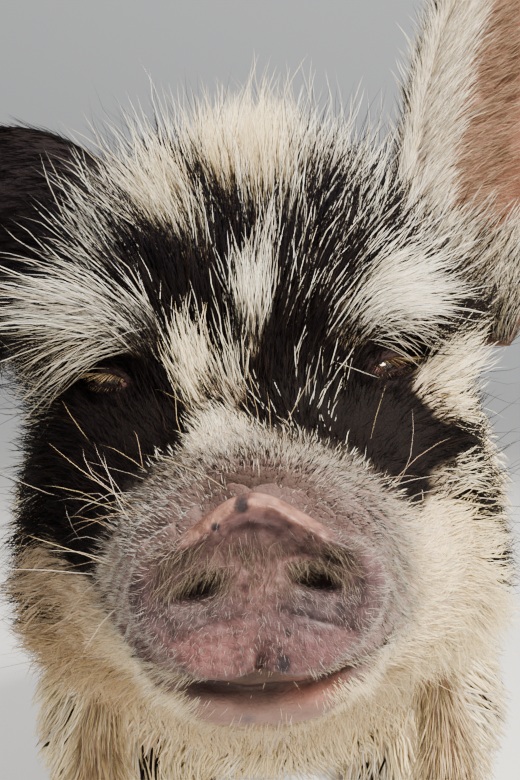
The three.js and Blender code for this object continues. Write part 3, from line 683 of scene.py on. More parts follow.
cut.operation = "UNION"
cut.object = grown_ob
cut.solver = "MANIFOLD"
skin_me = bpy.data.meshes.new_from_object(body_ob.evaluated_get(bpy.context.evaluated_depsgraph_get()))
if len(skin_me.polygons) < len(body_me.polygons) * 0.9:  # the quick solver found the pair unfit
    cut.solver = "EXACT"
    skin_me = bpy.data.meshes.new_from_object(body_ob.evaluated_get(bpy.context.evaluated_depsgraph_get()))
bpy.data.objects.remove(body_ob)
bpy.data.objects.remove(grown_ob)
print("skin faces", len(skin_me.polygons), "verts", len(skin_me.vertices))


def arrays(me):
    co = np.zeros(len(me.vertices) * 3)
    me.vertices.foreach_get("co", co)
    me.calc_loop_triangles()
    tri = np.zeros(len(me.loop_triangles) * 3, np.int32)
    me.loop_triangles.foreach_get("vertices", tri)
    tp = np.zeros(len(me.loop_triangles), np.int32)
    me.loop_triangles.foreach_get("polygon_index", tp)
    mi = np.zeros(len(me.polygons), np.int32)
    me.polygons.foreach_get("material_index", mi)
    return co.reshape(-1, 3), tri.reshape(-1, 3), mi[tp], mi


co, tri, tri_part, poly_part = arrays(skin_me)
vert_part = np.zeros(len(co), np.int32)
np.maximum.at(vert_part, tri.ravel(), np.repeat(tri_part, 3))
low_part = np.full(len(co), 99, np.int32)
np.minimum.at(low_part, tri.ravel(), np.repeat(tri_part, 3))
seam = np.where(low_part != vert_part)[0]
print("seam vertices", len(seam))
# smooth the flesh where two parts meet
kd = KDTree(len(seam))
for i, s in enumerate(seam):
    kd.insert(co[s], i)
kd.balance()
reach = np.zeros(len(co))
lo, hi = co[seam].min(0) - 16, co[seam].max(0) + 16
maybe = np.where(((co > lo) & (co < hi)).all(1))[0]
for i in maybe:
    d = kd.find(co[i])[2]
    reach[i] = d
w = np.zeros(len(co))
size = np.where(np.isin(vert_part, [8, 9]), 5.0, np.where(np.isin(vert_part, [5, 6]), 7.0, 13.0))
w[maybe] = 1 - smooth(0, 1, reach[maybe] / size[maybe])
edges = np.zeros(len(skin_me.edges) * 2, np.int32)
skin_me.edges.foreach_get("vertices", edges)
e0, e1_ = edges.reshape(-1, 2).T
keep = (w[e0] > 0) | (w[e1_] > 0)
e0, e1_ = e0[keep], e1_[keep]
deg = np.maximum(np.bincount(e0, minlength=len(co)) + np.bincount(e1_, minlength=len(co)), 1)
for _ in range(30):
    acc = np.stack([np.bincount(e0, co[e1_, k], len(co)) + np.bincount(e1_, co[e0, k], len(co)) for k in range(3)], 1)
    co += (acc / deg[:, None] - co) * (w * 0.6)[:, None]
skin_me.vertices.foreach_set("co", co.astype(np.float32).ravel())
skin_me.update()


def vertex_normals(co, tri):
    fn = np.cross(co[tri[:, 1]] - co[tri[:, 0]], co[tri[:, 2]] - co[tri[:, 0]])
    n = np.stack([sum(np.bincount(tri[:, c], fn[:, k], len(co)) for c in range(3)) for k in range(3)], 1)
    return unit(n)


VN = vertex_normals(co, tri)

# ------------------------------------------------------------------ markings, shared by the skin and the coat
# each patch: middle, half sizes, how light (0 black, 1 white), how warm (0 white or grey, 1 cream), softness
PATCHES = [
    # forehead: black with grey-white hairs through it
    (0, 96, 84, 64, 40, 36, 0.20, 0.1, 0.3),
    (-30, 102, 90, 18, 30, 18, 0.26, 0.1, 0.5),
    (30, 100, 92, 16, 30, 16, 0.5, 0.1, 0.5),
    (-18, 75, 63, 12, 13, 12, 0.02, 0.3, 0.3),
    (-6, 76, 71, 8, 12, 6, 0.05, 0.3, 0.4),
    (16, 72, 60, 9, 24, 17, 0.08, 0.2, 0.3),
    # the muzzle: short grey-beige hair, whiter at the sides
    (0, 6, 0, 60, 35, 60, 0.62, 0.25, 0.22),
    (0, 22, 24, 30, 22, 12, 0.50, 0.25, 0.4),
    (33, 29, -4, 11, 20, 14, 0.93, 0.45, 0.4),
    (-31, 26, -6, 10, 16, 12, 0.84, 0.3, 0.4),
    (3, 18, 20, 14, 10, 8, 0.16, 0.6, 0.5),
    (-25, 40, 17, 7, 9, 9, 0.5, 0.2, 0.5),
    # bridge: a cream blaze on the animal's right, a short column above it, black on the left
    (14, 54, 33, 13, 14, 12, 0.16, 0.2, 0.3),
    (-8, 47, 29, 6.4, 10, 5.5, 0.95, 0.3, 0.35),
    (-7.5, 42, 25, 7.0, 10, 5.0, 0.94, 0.35, 0.35),
    (-13, 61, 39, 5.4, 12, 7.5, 0.95, 0.6, 0.3),
    (-4, 60, 38, 3.0, 12, 6, 0.55, 0.5, 0.4),
    (-2.5, 66, 47, 2.2, 10, 5, 0.15, 0.5, 0.4),
    (1.0, 69, 52, 3.7, 12, 6.5, 0.93, 0.45, 0.35),
    (1.5, 74, 60, 2.8, 10, 6, 0.75, 0.3, 0.5),
    # crown
    (-16.5, 84, 82, 7.0, 13, 8.5, 0.94, 0.65, 0.35),
    (-11, 79, 74, 3.0, 10, 5, 0.7, 0.5, 0.4),
    (3, 96, 101, 15.5, 24, 14, 0.985, 0.88, 0.3),
    (7, 84, 84, 3.4, 10, 6.0, 0.85, 0.6, 0.4),
    (20, 99, 97, 9, 20, 10, 0.60, 0.15, 0.5),
    (46, 102, 80, 13, 17, 13, 0.16, 0.1, 0.4),
    (1, 90, 92, 11.0, 20, 7.5, 0.96, 0.85, 0.35),
    # brows
    (30, 71, 50, 7, 12, 4.0, 0.66, 0.15, 0.4),
    (48, 92, 72, 8, 16, 10, 0.20, 0.1, 0.5),
    (35.5, 76, 58, 8.5, 11, 6.2, 0.985, 0.3, 0.3),
    (49, 88, 61, 5, 12, 4, 0.35, 0.2, 0.5),
    (-29, 73, 52, 8, 12, 4.6, 0.70, 0.12, 0.4),
    (-39, 80, 57, 9, 12, 5.0, 0.75, 0.15, 0.4),
    (-36, 86, 68, 4, 12, 7, 0.45, 0.1, 0.5),
    # round the eyes and the left cheek's black
    (35, 62, 25, 14, 24, 12, 0.004, 0.3, 0.18),
    (36, 74, 42, 11, 14, 5.5, 0.03, 0.3, 0.3),
    (-41, 63, 20, 23, 33, 18, 0.006, 0.3, 0.15),
    (-57, 84, 36, 5, 9, 4, 0.7, 0.3, 0.5),
    (-64, 92, 24, 4, 9, 8, 0.6, 0.3, 0.5),
    # the left side's bands
    (51, 78, 36, 8, 20, 6.0, 0.93, 0.75, 0.35),
    (55, 80, 29, 7, 16, 5.0, 0.9, 0.7, 0.4),
    (62, 96, 36, 7, 16, 9, 0.8, 0.5, 0.4),
    (52, 70, 20, 11, 20, 6.5, 0.05, 0.3, 0.35),
    (53, 68, 11, 9, 18, 4.5, 0.5, 0.5, 0.5),
    # jowls and chin; the pale jowl of the right reaches higher on the outside
    (0, 62, -44, 92, 80, 34, 0.985, 0.92, 0.12),
    (46, 58, -12, 17, 44, 19, 0.985, 0.92, 0.2),
    (-56, 72, -9, 10, 24, 8.5, 0.95, 0.7, 0.3),
    (-44, 50, -13, 13, 22, 7.0, 0.95, 0.7, 0.3),
    (-64, 104, 28, 9, 30, 28, 0.14, 0.2, 0.5),
    # neck, shoulders and trunk
    (0, 150, -50, 120, 42, 70, 0.95, 0.8, 0.15),
    (-70, 165, 20, 50, 50, 60, 0.06, 0.3, 0.15),
    (58, 172, 62, 34, 30, 40, 0.06, 0.3, 0.2),
    (0, 232, -20, 150, 34, 150, 0.95, 0.75, 0.15),
    (-40, 330, 40, 110, 62, 80, 0.04, 0.3, 0.1),
    (95, 318, -10, 40, 40, 46, 0.04, 0.3, 0.15),
    (100, 410, -70, 40, 28, 32, 0.05, 0.3, 0.2),
    (0, 340, -150, 110, 170, 45, 0.95, 0.8, 0.15),
    (30, 488, 40, 90, 48, 66, 0.05, 0.3, 0.12),
    (-70, 520, -50, 50, 40, 70, 0.06, 0.3, 0.15),
    (-95, 420, -60, 40, 26, 36, 0.93, 0.7, 0.2),
    # legs
    (0, 228, -190, 140, 60, 62, 0.94, 0.75, 0.1),
    (60, 485, -190, 40, 60, 66, 0.93, 0.75, 0.12),
    (-60, 485, -160, 40, 60, 40, 0.06, 0.3, 0.15),
    (-60, 485, -215, 40, 60, 26, 0.9, 0.7, 0.2),
    # tail
    (0, 584, -60, 30, 30, 70, 0.94, 0.75, 0.2),
    # ears: the left pale, the right black
    (88, 116, 120, 46, 40, 80, 0.8, 0.5, 0.08),
    (-86, 108, 92, 44, 44, 62, 0.03, 0.2, 0.05),
]


def marks_at(p):
    """How light and how warm the coat is at points of the skin."""
    rag = 0.30 * fbm(p, 17.0, 51, 3) * lerp(0.7, 1.0, smooth(60, 110, p[:, 1]))
    body = smooth(130, 190, p[:, 1])
    rag = rag + 0.28 * body * fbm(p, 60.0, 52, 2)
    light = lerp(np.full(len(p), 0.05), 0.9 + 0 * p[:, 0], smooth(120, 170, p[:, 1]))
    warm = np.full(len(p), 0.5) + 0.25 * body
    for cx, cy, cz, rx, ry, rz, li, wa, soft in PATCHES:
        q = np.sqrt(((p[:, 0] - cx) / rx) ** 2 + ((p[:, 1] - cy) / ry) ** 2 + ((p[:, 2] - cz) / rz) ** 2) + rag
        m = 1 - smooth(1 - soft, 1 + soft, q)
        light = lerp(light, li, m)
        warm = lerp(warm, wa, m)
    return np.clip(light, 0, 1), np.clip(warm + 0.25 * fbm(p, 25, 53, 2), 0, 1)


SKIN_DARK, SKIN_PALE = srgb(16, 12, 12), srgb(184, 163, 136)


def skin_paint(p, part, n):
    """Skin colour and its kind: how bare and moist it is."""
    x, y, z = p.T
    light, warm = marks_at(p)
    wet = np.zeros(len(p))
    body = part == 0
    # the skin under the coat on the trunk and legs is a dull tan: partly a skin tone near the coat's, partly painted
    # shade of the coat seen between strands
    under = np.maximum(body * smooth(60, 130, y), np.isin(part, [1, 2, 3, 4]))
    col = lerp(SKIN_DARK, lerp(SKIN_PALE, srgb(164, 140, 112), (0.85 * under)[:, None]), smooth(0.15, 0.85, light)[:, None])
    # muzzle
    mz = body * (1 - smooth(26, 50, y))
    grey = lerp(srgb(84, 70, 68), srgb(124, 102, 97), (0.5 + 0.5 * fbm(p, 9, 61))[:, None])
    grey = lerp(grey, srgb(172, 142, 118), (smooth(-12, -26, z) * smooth(8, 16, y))[:, None])
    grey = lerp(grey, srgb(118, 106, 97), (smooth(24, 32, y) * smooth(10, 20, z))[:, None])
    col = lerp(col, grey, mz[:, None])
    brown = gauss(np.hypot(np.hypot((x - 2) / 19, (y - 14) / 13), (z - 20) / 10)) * body
    col = lerp(col, lerp(srgb(38, 29, 26), srgb(70, 55, 50), np.clip(0.5 + 0.8 * fbm(p, 3.0, 65), 0, 1)[:, None]), (brown * 0.97)[:, None])
    # painted shade: the grooves of the folds over the disc darkened
    wob = y + 0.54 * np.sin(x * 0.33 + 0.8) + 0.8 * vnoise(p, 7.0, 3) + 0.03 * x
    over = body * smooth(0.30, 0.75, np.sin(np.arctan2(z - WIDE(y), x))) * np.clip(0.62 + 1.1 * fbm(p, 6.0, 67, 2), 0.1, 1)
    for g, wd in ((5.9, 1.2), (11.0, 0.8), (16.2, 0.8), (21.4, 0.8)):
        col = lerp(col, srgb(30, 21, 20), (over * 0.88 * gauss((wob - g) / wd))[:, None])
    # disc
    a = np.arctan2(z + 2, x)
    rho = np.hypot(x, z + 2) / rim_radius(a)
    disc = body * (1 - smooth(3.4, 6.0, y))
    n1, n2, n3 = fbm(p, 5.5, 62, 3), fbm(p, 2.2, 63, 2), vnoise(p, 0.9, 64)
    dcol = lerp(srgb(140, 112, 115), srgb(182, 140, 138), np.clip(0.5 + 0.75 * n1, 0, 1)[:, None])

    def spot(cx, cz, rx, rz, rgb, amount):
        nonlocal dcol
        wob = 1 + 0.30 * n1 + 0.22 * n2
        dcol = lerp(dcol, srgb(*rgb), (amount * gauss(np.hypot((x - cx) / rx, (z - cz) / rz) * wob))[:, None])

    spot(-23, -3, 5, 8, (118, 92, 104), 0.8)
    spot(23, -2, 5, 7, (142, 116, 122), 0.7)
    spot(-12, -5.5, 7.5, 4.2, (142, 126, 128), 0.85)
    spot(9.5, -5.0, 8.5, 4.4, (148, 134, 140), 0.85)
    spot(0.3, -1.2, 4.4, 4.6, (190, 138, 134), 0.8)
    spot(-9.5, -12.8, 8.6, 4.4, (196, 136, 132), 0.9)
    spot(-2.5, -9.5, 4.2, 3.4, (194, 138, 136), 0.7)
    spot(12.5, -14.0, 6.8, 4.2, (192, 134, 138), 0.75)
    spot(0, 7.2, 19, 4.6, (112, 86, 80), 0.88)
    spot(-15, 5.2, 8, 5.0, (88, 72, 70), 0.8)
    spot(15, 5.6, 7, 4.4, (94, 76, 76), 0.75)
    spot(-11.3, -0.6, 6.4, 3.6, (78, 62, 60), 0.85)
    spot(11.5, 0.5, 6.6, 3.6, (78, 62, 62), 0.85)
    spot(-0.6, -16.0, 1.9, 2.6, (98, 72, 70), 0.8)
    # painted shade: the disc darker towards its bottom and its outer sides, more on the animal's right
    painted_shade_disc = (1 - 0.42 * smooth(3, -6, z)) * (1 - np.where(x > 0, 0.26, 0.45) * smooth(13, 20, np.abs(x)))
    dcol = dcol * np.array([0.425, 0.392, 0.400]) * np.maximum(painted_shade_disc, 0.46)[:, None]
    top = smooth(0.50, 0.84, np.sin(a)) * smooth(0.82, 0.925, rho + 0.04 * n1)
    dcol = lerp(dcol, lerp(srgb(98, 66, 58), srgb(136, 98, 84), np.clip(0.5 + n2, 0, 1)[:, None]), (top * 0.9)[:, None])
    dcol = dcol * (1 + 0.36 * n2 + 0.34 * n3 + 0.30 * n1)[:, None]
    # painted shade along the disc's bottom edge
    dcol = lerp(dcol, dcol * 0.5, (smooth(-0.70, -0.92, np.sin(a)) * smooth(0.90, 0.965, rho))[:, None])
    col = lerp(col, dcol, disc[:, None])
    for cx, cz, rr, am in ((-2.0, 15.4, 1.6, 0.85), (-7.0, 11.6, 0.95, 0.9), (4.3, -15.0, 1.6, 0.8), (3.7, -12.6, 0.6, 0.7),
                           (5.4, -9.4, 0.6, 0.7), (-3.3, -14.7, 0.4, 0.8), (18.7, -1.7, 1.7, 0.4), (15.4, -4.7, 0.9, 0.5),
                           (-16.2, -8.6, 0.7, 0.4)):
        d = np.hypot(x - cx, (z - cz) * 0.9) * (1 + 0.35 * n2)
        col = lerp(col, srgb(36, 33, 38), (disc * min(1.0, am * 1.1) * (1 - smooth(rr * 0.7, rr * 1.3, d)))[:, None])
    q = nostril_q(x, z)
    # painted shade inside the nostril pits
    col = lerp(col, srgb(38, 24, 22), (disc * (1 - smooth(0.55, 1.15, q)) * smooth(-3, 2, y))[:, None])
    wet = np.maximum(wet, disc * (0.30 + 0.25 * np.clip(n2, 0, 1)))
    # the underside of the rim and the groove behind it, darkened as painted shade
    col = lerp(col, srgb(92, 72, 70), (body * gauss((y - 5.6) / 2.0) * 0.75)[:, None])
    col = lerp(col, srgb(84, 58, 54), (body * smooth(1.2, 2.6, y) * smooth(7.5, 6.0, y) * smooth(-15.5, -17.5, z) * 0.95)[:, None])
    # lips
    mouth = lerp(-22.4 + 3.0 * (np.abs(x) / 17.0) ** 2, -19.0 + 0.135 * y, smooth(7, 15, y))
    lip = body * (1 - smooth(12, 22, y)) * smooth(3.5, 6, y) * smooth(-31.0, -28.0, z) * smooth(-14.5, -19, z) * smooth(17.5, 13.0, np.abs(x - 1.0))
    lcol = lerp(srgb(116, 88, 79), srgb(144, 98, 86), (smooth(1, 9, x) * smooth(-27.5, -24, z))[:, None])
    # painted shadow of the disc along the top of the lower lip, in the middle and on the animal's right
    lcol = lerp(lcol, srgb(78, 58, 54), (gauss((z + 22.5) / 1.8) * smooth(6, -2, x) * 0.8)[:, None])
    lcol = lcol * (1 + 0.22 * fbm(p, 2.5, 66, 2))[:, None]
    col = lerp(col, lcol, (lip * 0.95)[:, None])
    col = lerp(col, srgb(72, 60, 66), (lip * gauss(np.hypot(x + 3.2, (z + 28.5)) / 1.5))[:, None])
    wet = np.maximum(wet, lip * 0.4)
    # painted shadow on the upper lip just under the disc
    painted_shadow_under_disc = body * smooth(2.5, 4, y) * smooth(15, 12, y) * smooth(-15.5, -17.2, z) * smooth(-23.5, -21.8, z) * smooth(19, 14, np.abs(x - 1))
    col = col * (1 - 0.62 * painted_shadow_under_disc)[:, None]
    # painted shade in the mouth's crease
    line = body * gauss((z - mouth) / 0.8) * smooth(4, 6, y) * (1 - smooth(55, 66, y))
    col = lerp(col, srgb(44, 26, 26), (line * 0.85 * smooth(19, 13.5, np.abs(x - 1)))[:, None])
    # lids
    for side in (1, -1):
        c, e1, e2, out = eye_axes(side)
        w = p - c
        f = lid_distance(w @ e1, w @ e2)
        near = body * ((w @ out) > 0) * (np.linalg.norm(w, axis=1) < 24)
        col = lerp(col, lerp(srgb(44, 32, 32), srgb(27, 21, 22), smooth(0.8, 3.5, f)[:, None]), (near * (1 - smooth(5, 10, f)))[:, None])
        col = lerp(col, srgb(50, 29, 29), (near * (1 - smooth(0.1, 0.9, f)) * 0.8)[:, None])
        wet = np.maximum(wet, near * 0.6 * (1 - smooth(0.3, 1.2, f)))
    # ears
    for side, pid in ((1, 5), (-1, 6)):
        on = part == pid
        ear = ears[side]
        if not on.any():
            continue
        kd = KDTree(60)
        for i, s in enumerate(np.linspace(0, len(ear.C) - 1, 60).astype(int)):
            kd.insert(ear.C[s], i)
        kd.balance()
        idx = np.where(on)[0]
        t = np.array([kd.find(p[i])[1] for i in idx]) / 59
        _, al, ac, out = ear.at(t, np.zeros(len(t)), np.ones(len(t)))
        hollow = smooth(-0.15, 0.25, (n[idx] * out).sum(1))
        u = ((p[idx] - ear.C[(t * (len(ear.C) - 1)).astype(int)]) * ac).sum(1) / 30
        inner = lerp(srgb(164, 124, 107), srgb(104, 70, 55), (gauss((u - 0.25) / 0.55) * gauss((t - 0.42) / 0.42))[:, None])
        inner = lerp(inner, srgb(64, 50, 45), ((1 - smooth(0.02, 0.32, t)) * 0.9)[:, None])
        inner = inner * (1 + 0.14 * fbm(p[idx], 12, 72, 3))[:, None]
        if side < 0:
            inner = lerp(inner, srgb(25, 20, 21), 0.96)
        vein = gauss((np.abs(np.sin(u * 5 + 2.5 * t + 1.2 * vnoise(p[idx], 14, 71))) - 0.02) / 0.10) * 0.18
        inner = lerp(inner, srgb(170, 96, 96), (vein * (1.0 if side > 0 else 0.15))[:, None])
        back = lerp(srgb(150, 128, 118), srgb(26, 21, 23), 1.0 if side < 0 else 0.15)
        col[idx] = lerp(back, inner, hollow[:, None])
        col[idx] = lerp(col[idx], srgb(30, 24, 25), (0.7 * smooth(0.86, 1.0, np.abs(u)))[:, None]) if side < 0 else lerp(col[idx], srgb(150, 132, 122), (0.9 * smooth(0.55, 0.85, -u))[:, None])
    # wattles, tail end
    wt = (part == 8) | (part == 9)
    col = lerp(col, srgb(158, 124, 104), (wt * 0.9)[:, None])
    return np.clip(col, 0, 1), wet


# vertex groups of the skin: colour, moisture
VP = np.where(low_part != vert_part, low_part, vert_part)
skin_col, skin_wet = skin_paint(co, VP, VN)


# ------------------------------------------------------------------ an unwrap of the skin, which the coat's tufts share
_arc = curve_through([-4, 0, 6, 14, 50, 110, 160, 260, 420, 560], [0.0, 0.06, 0.14, 0.20, 0.34, 0.56, 0.66, 0.77, 0.91, 1.0])


def unwrap(p, part):
    """A place in the unit square for points of the skin: the trunk in one field, each leg, ear and so on in its own."""
    x, y, z = p.T
    out = np.zeros((len(p), 2))
    a = (np.arctan2(z - WIDE(y), x) + PI / 2) / (2 * PI) % 1.0
    rho = np.hypot(x, z + 2) / rim_radius(np.arctan2(z + 2, x))
    flat = y < 2.5
    v = np.where(flat, 0.06 * np.clip(rho, 0, 1), _arc(y) * 0.94 + 0.06)
    v = np.where(flat, v, np.maximum(v, 0.06))
    out[:, 0], out[:, 1] = 0.015 + 0.70 * a, 0.015 + 0.965 * v
    for k, (rings, side) in enumerate(((FORELEG, 1), (FORELEG, -1), (HINDLEG, 1), (HINDLEG, -1))):
        on = part == k + 1
        fx, fy = (curve_through(-rings[:, 0], rings[:, c]) for c in (1, 2))
        h = z[on] + DISC_HEIGHT
        b = (np.arctan2(y[on] - fy(-h), (x[on] - side * fx(-h)) * side) + PI) / (2 * PI)
        out[on, 0] = 0.745 + 0.235 * b
        out[on, 1] = 0.015 + 0.155 * k + 0.145 * np.clip((h - 10) / 220, 0, 1)
    for k, side in ((5, 1), (6, -1)):
        on = part == k
        ear = ears[side]
        lo, hi = np.min(ear.C, 0) - 34, np.max(ear.C, 0) + 34
        q = (p[on] - lo) / (hi - lo)
        front = 0.118 * (q[:, 1] > 0.5)
        out[on, 0] = 0.745 + front + 0.112 * np.clip(q[:, 0], 0, 1)
        out[on, 1] = 0.64 + 0.13 * (k - 5) + 0.12 * np.clip(q[:, 2], 0, 1)
    on = part == 7
    out[on, 0] = 0.745 + 0.11 * (np.arctan2(y[on] - 580, x[on]) + PI) / (2 * PI)
    out[on, 1] = 0.905 + 0.075 * np.clip((z[on] + 125) / 140, 0, 1)
    for k in (8, 9):
        on = part == k
        cx = 53 if k == 8 else -52
        out[on, 0] = 0.865 + 0.058 * (k - 8) + 0.05 * (np.arctan2(y[on] - 111, x[on] - cx) + PI) / (2 * PI)
        out[on, 1] = 0.905 + 0.075 * np.clip((z[on] + 98) / 55, 0, 1)
    return out


loops = np.zeros(len(skin_me.loops), np.int32)
skin_me.loops.foreach_get("vertex_index", loops)
starts = np.zeros(len(skin_me.polygons), np.int32)
totals = np.zeros(len(skin_me.polygons), np.int32)
skin_me.polygons.foreach_get("loop_start", starts)
skin_me.polygons.foreach_get("loop_total", totals)
loop_poly = np.repeat(np.arange(len(starts)), totals)
loop_uv = unwrap(co[loops], poly_part[loop_poly])
# faces over the seam of the trunk or of a leg keep together
hi_u = np.maximum.reduceat(loop_uv[:, 0], starts)
lo_u = np.minimum.reduceat(loop_uv[:, 0], starts)
for part_ids, span in (((0,), 0.70), ((1, 2, 3, 4), 0.235), ((7,), 0.11), ((8, 9), 0.05)):
    over = (hi_u - lo_u > span * 0.5) & np.isin(poly_part, part_ids)
    fix = over[loop_poly] & (loop_uv[:, 0] < ((hi_u + lo_u) / 2)[loop_poly])
    loop_uv[fix, 0] = hi_u[loop_poly][fix] + 0.001


# ------------------------------------------------------------------ materials
def material(name, rough, colour=(0.5, 0.5, 0.5), **sockets):
    m = bpy.data.materials.new(name)
    m.use_nodes = True
    nt = m.node_tree
    bsdf = nt.nodes["Principled BSDF"]
    bsdf.inputs["Base Color"].default_value = (*colour, 1)
    bsdf.inputs["Roughness"].default_value = rough
    for k, val in sockets.items():
        bsdf.inputs[k.replace("_", " ")].default_value = val
    return m, nt, bsdf


def node(nt, kind, **props):
    n = nt.nodes.new(kind)
    for k, val in props.items():
        if k in n.bl_rna.properties:
            setattr(n, k, val)
        else:
            n.inputs[k].default_value = val
    return n


def maths(nt, op, a, b=None, clamp=False):
    n = nt.nodes.new("ShaderNodeMath")
    n.operation = op
    n.use_clamp = clamp
    for i, val in enumerate((a, b)):
        if val is None:
            continue
        if hasattr(val, "is_output"):
            nt.links.new(val, n.inputs[i])
        else:
            n.inputs[i].default_value = val
    return n.outputs[0]


def noise_node(nt, scale, detail=3.0, rough=0.5, coords=None, distortion=0.0):
    n = nt.nodes.new("ShaderNodeTexNoise")
    n.inputs["Scale"].default_value = scale
    n.inputs["Detail"].default_value = detail
    n.inputs["Roughness"].default_value = rough
    n.inputs["Distortion"].default_value = distortion
    if coords is not None:
        nt.links.new(coords, n.inputs["Vector"])
    return n.outputs["Fac"]


def tinted(nt, colour, factor, low, high):
    """colour times a brightness between low and high."""
    r = nt.nodes.new("ShaderNodeMapRange")
    r.inputs["To Min"].default_value = low
    r.inputs["To Max"].default_value = high
    nt.links.new(factor, r.inputs["Value"])
    v = nt.nodes.new("ShaderNodeVectorMath")
    v.operation = "SCALE"
    nt.links.new(colour, v.inputs[0])
    nt.links.new(r.outputs[0], v.inputs["Scale"])
    return v.outputs[0]


def skin_material():
    m, nt, bsdf = material("pig_skin", 0.55, Subsurface_Weight=0.12, Subsurface_Scale=0.002)
    bsdf.inputs["Subsurface Radius"].default_value = (1.0, 0.35, 0.22)
    bsdf.inputs["Specular IOR Level"].default_value = 0.03
    bsdf.inputs["Coat Roughness"].default_value = 0.34
    co_n = nt.nodes.new("ShaderNodeTexCoord").outputs["Object"]
    tint = node(nt, "ShaderNodeAttribute", attribute_name="Tint").outputs["Color"]
    wet = node(nt, "ShaderNodeAttribute", attribute_name="Moist").outputs["Fac"]
    nt.links.new(maths(nt, "MULTIPLY", wet, 0.6), bsdf.inputs["Coat Weight"])
    mott = noise_node(nt, 260, 5, 0.62, co_n)
    fine = noise_node(nt, 1300, 3, 0.6, co_n)
    c = tinted(nt, tint, mott, 0.72, 1.28)
    c = tinted(nt, c, fine, 0.84, 1.16)
    # freckles of grey pigment
    vor = nt.nodes.new("ShaderNodeTexVoronoi")
    vor.inputs["Scale"].default_value = 520
    vor.inputs["Randomness"].default_value = 1
    nt.links.new(co_n, vor.inputs["Vector"])
    ramp = nt.nodes.new("ShaderNodeMapRange")
    ramp.inputs["From Min"].default_value = 0.06
    ramp.inputs["From Max"].default_value = 0.26
    ramp.inputs["To Min"].default_value = 0.74
    nt.links.new(vor.outputs["Distance"], ramp.inputs["Value"])
    v2 = nt.nodes.new("ShaderNodeVectorMath")
    v2.operation = "SCALE"
    nt.links.new(c, v2.inputs[0])
    nt.links.new(ramp.outputs[0], v2.inputs["Scale"])
    nt.links.new(v2.outputs[0], bsdf.inputs["Base Color"])
    # moist skin is smoother, with pores
    r = nt.nodes.new("ShaderNodeMapRange")
    r.inputs["To Min"].default_value = 0.66
    r.inputs["To Max"].default_value = 0.36
    nt.links.new(wet, r.inputs["Value"])
    rr = maths(nt, "ADD", r.outputs[0], maths(nt, "MULTIPLY", maths(nt, "SUBTRACT", mott, 0.5), 0.35), True)
    nt.links.new(rr, bsdf.inputs["Roughness"])
    pores = nt.nodes.new("ShaderNodeTexVoronoi")
    pores.feature = "DISTANCE_TO_EDGE"
    pores.inputs["Scale"].default_value = 900
    nt.links.new(co_n, pores.inputs["Vector"])
    creases = maths(nt, "MINIMUM", pores.outputs["Distance"], 0.16)
    height = maths(nt, "ADD", maths(nt, "MULTIPLY", creases, 2.6), maths(nt, "MULTIPLY", fine, 0.5))
    height = maths(nt, "ADD", height, maths(nt, "MULTIPLY", mott, 1.2))
    b = nt.nodes.new("ShaderNodeBump")
    b.inputs["Strength"].default_value = 0.55
    b.inputs["Distance"].default_value = 0.0004
    nt.links.new(height, b.inputs["Height"])
    nt.links.new(b.outputs[0], bsdf.inputs["Normal"])
    return m


def hair_material(name, rough, streak):
    m, nt, bsdf = material(name, rough)
    bsdf.inputs["Specular IOR Level"].default_value = 0.03
    co_n = nt.nodes.new("ShaderNodeTexCoord").outputs["Object"]
    tint = node(nt, "ShaderNodeAttribute", attribute_name="Tint").outputs["Color"]
    n1 = noise_node(nt, 900, 2, 0.5, co_n)
    c = tinted(nt, tint, n1, 0.80, 1.20)
    if streak:
        uv = node(nt, "ShaderNodeUVMap", uv_map="Lock").outputs[0]
        n2 = noise_node(nt, 5.0, 2, 0.6, uv)
        c = tinted(nt, c, n2, 0.55, 1.45)
        b = nt.nodes.new("ShaderNodeBump")
        b.inputs["Strength"].default_value = 0.5
        b.inputs["Distance"].default_value = 0.0003
        nt.links.new(n2, b.inputs["Height"])
        nt.links.new(b.outputs[0], bsdf.inputs["Normal"])
    nt.links.new(c, bsdf.inputs["Base Color"])
    r = nt.nodes.new("ShaderNodeMapRange")
    r.inputs["To Min"].default_value = rough - 0.08
    r.inputs["To Max"].default_value = rough + 0.12
    nt.links.new(n1, r.inputs["Value"])
    nt.links.new(r.outputs[0], bsdf.inputs["Roughness"])
    return m


SKIN = skin_material()
HAIR = hair_material("pig_hair", 0.54, False)
LOCK = hair_material("pig_locks", 0.56, True)


def add_colour(me, name, col):
    at = me.color_attributes.new(name, "FLOAT_COLOR", "POINT")
    full = np.ones((len(col), 4), np.float32)
    full[:, :3] = col
    at.data.foreach_set("color", full.ravel())


def add_uv(me, name, uv):
    layer = me.uv_layers.new(name=name, do_init=False)
    layer.data.foreach_set("uv", np.asarray(uv, np.float32).ravel())


skin_me.materials.clear()
skin_me.materials.append(SKIN)
skin_me.polygons.foreach_set("material_index", np.zeros(len(skin_me.polygons), np.int32))
skin_me.polygons.foreach_set("use_smooth", np.ones(len(skin_me.polygons), bool))
add_colour(skin_me, "Tint", skin_col)
moist = skin_me.attributes.new("Moist", "FLOAT", "POINT")
moist.data.foreach_set("value", skin_wet.astype(np.float32))
add_uv(skin_me, "OFBake", loop_uv)
skin_me.vertices.foreach_set("co", place(co).astype(np.float32).ravel())
skin_me.update()
skin = new_object("skin", skin_me)
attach(skin, BODY)
FLESH = [n for n in frame["nodes"] if not n.startswith(("eye_", "hoof_", "dewclaw_"))]
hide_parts(*FLESH)


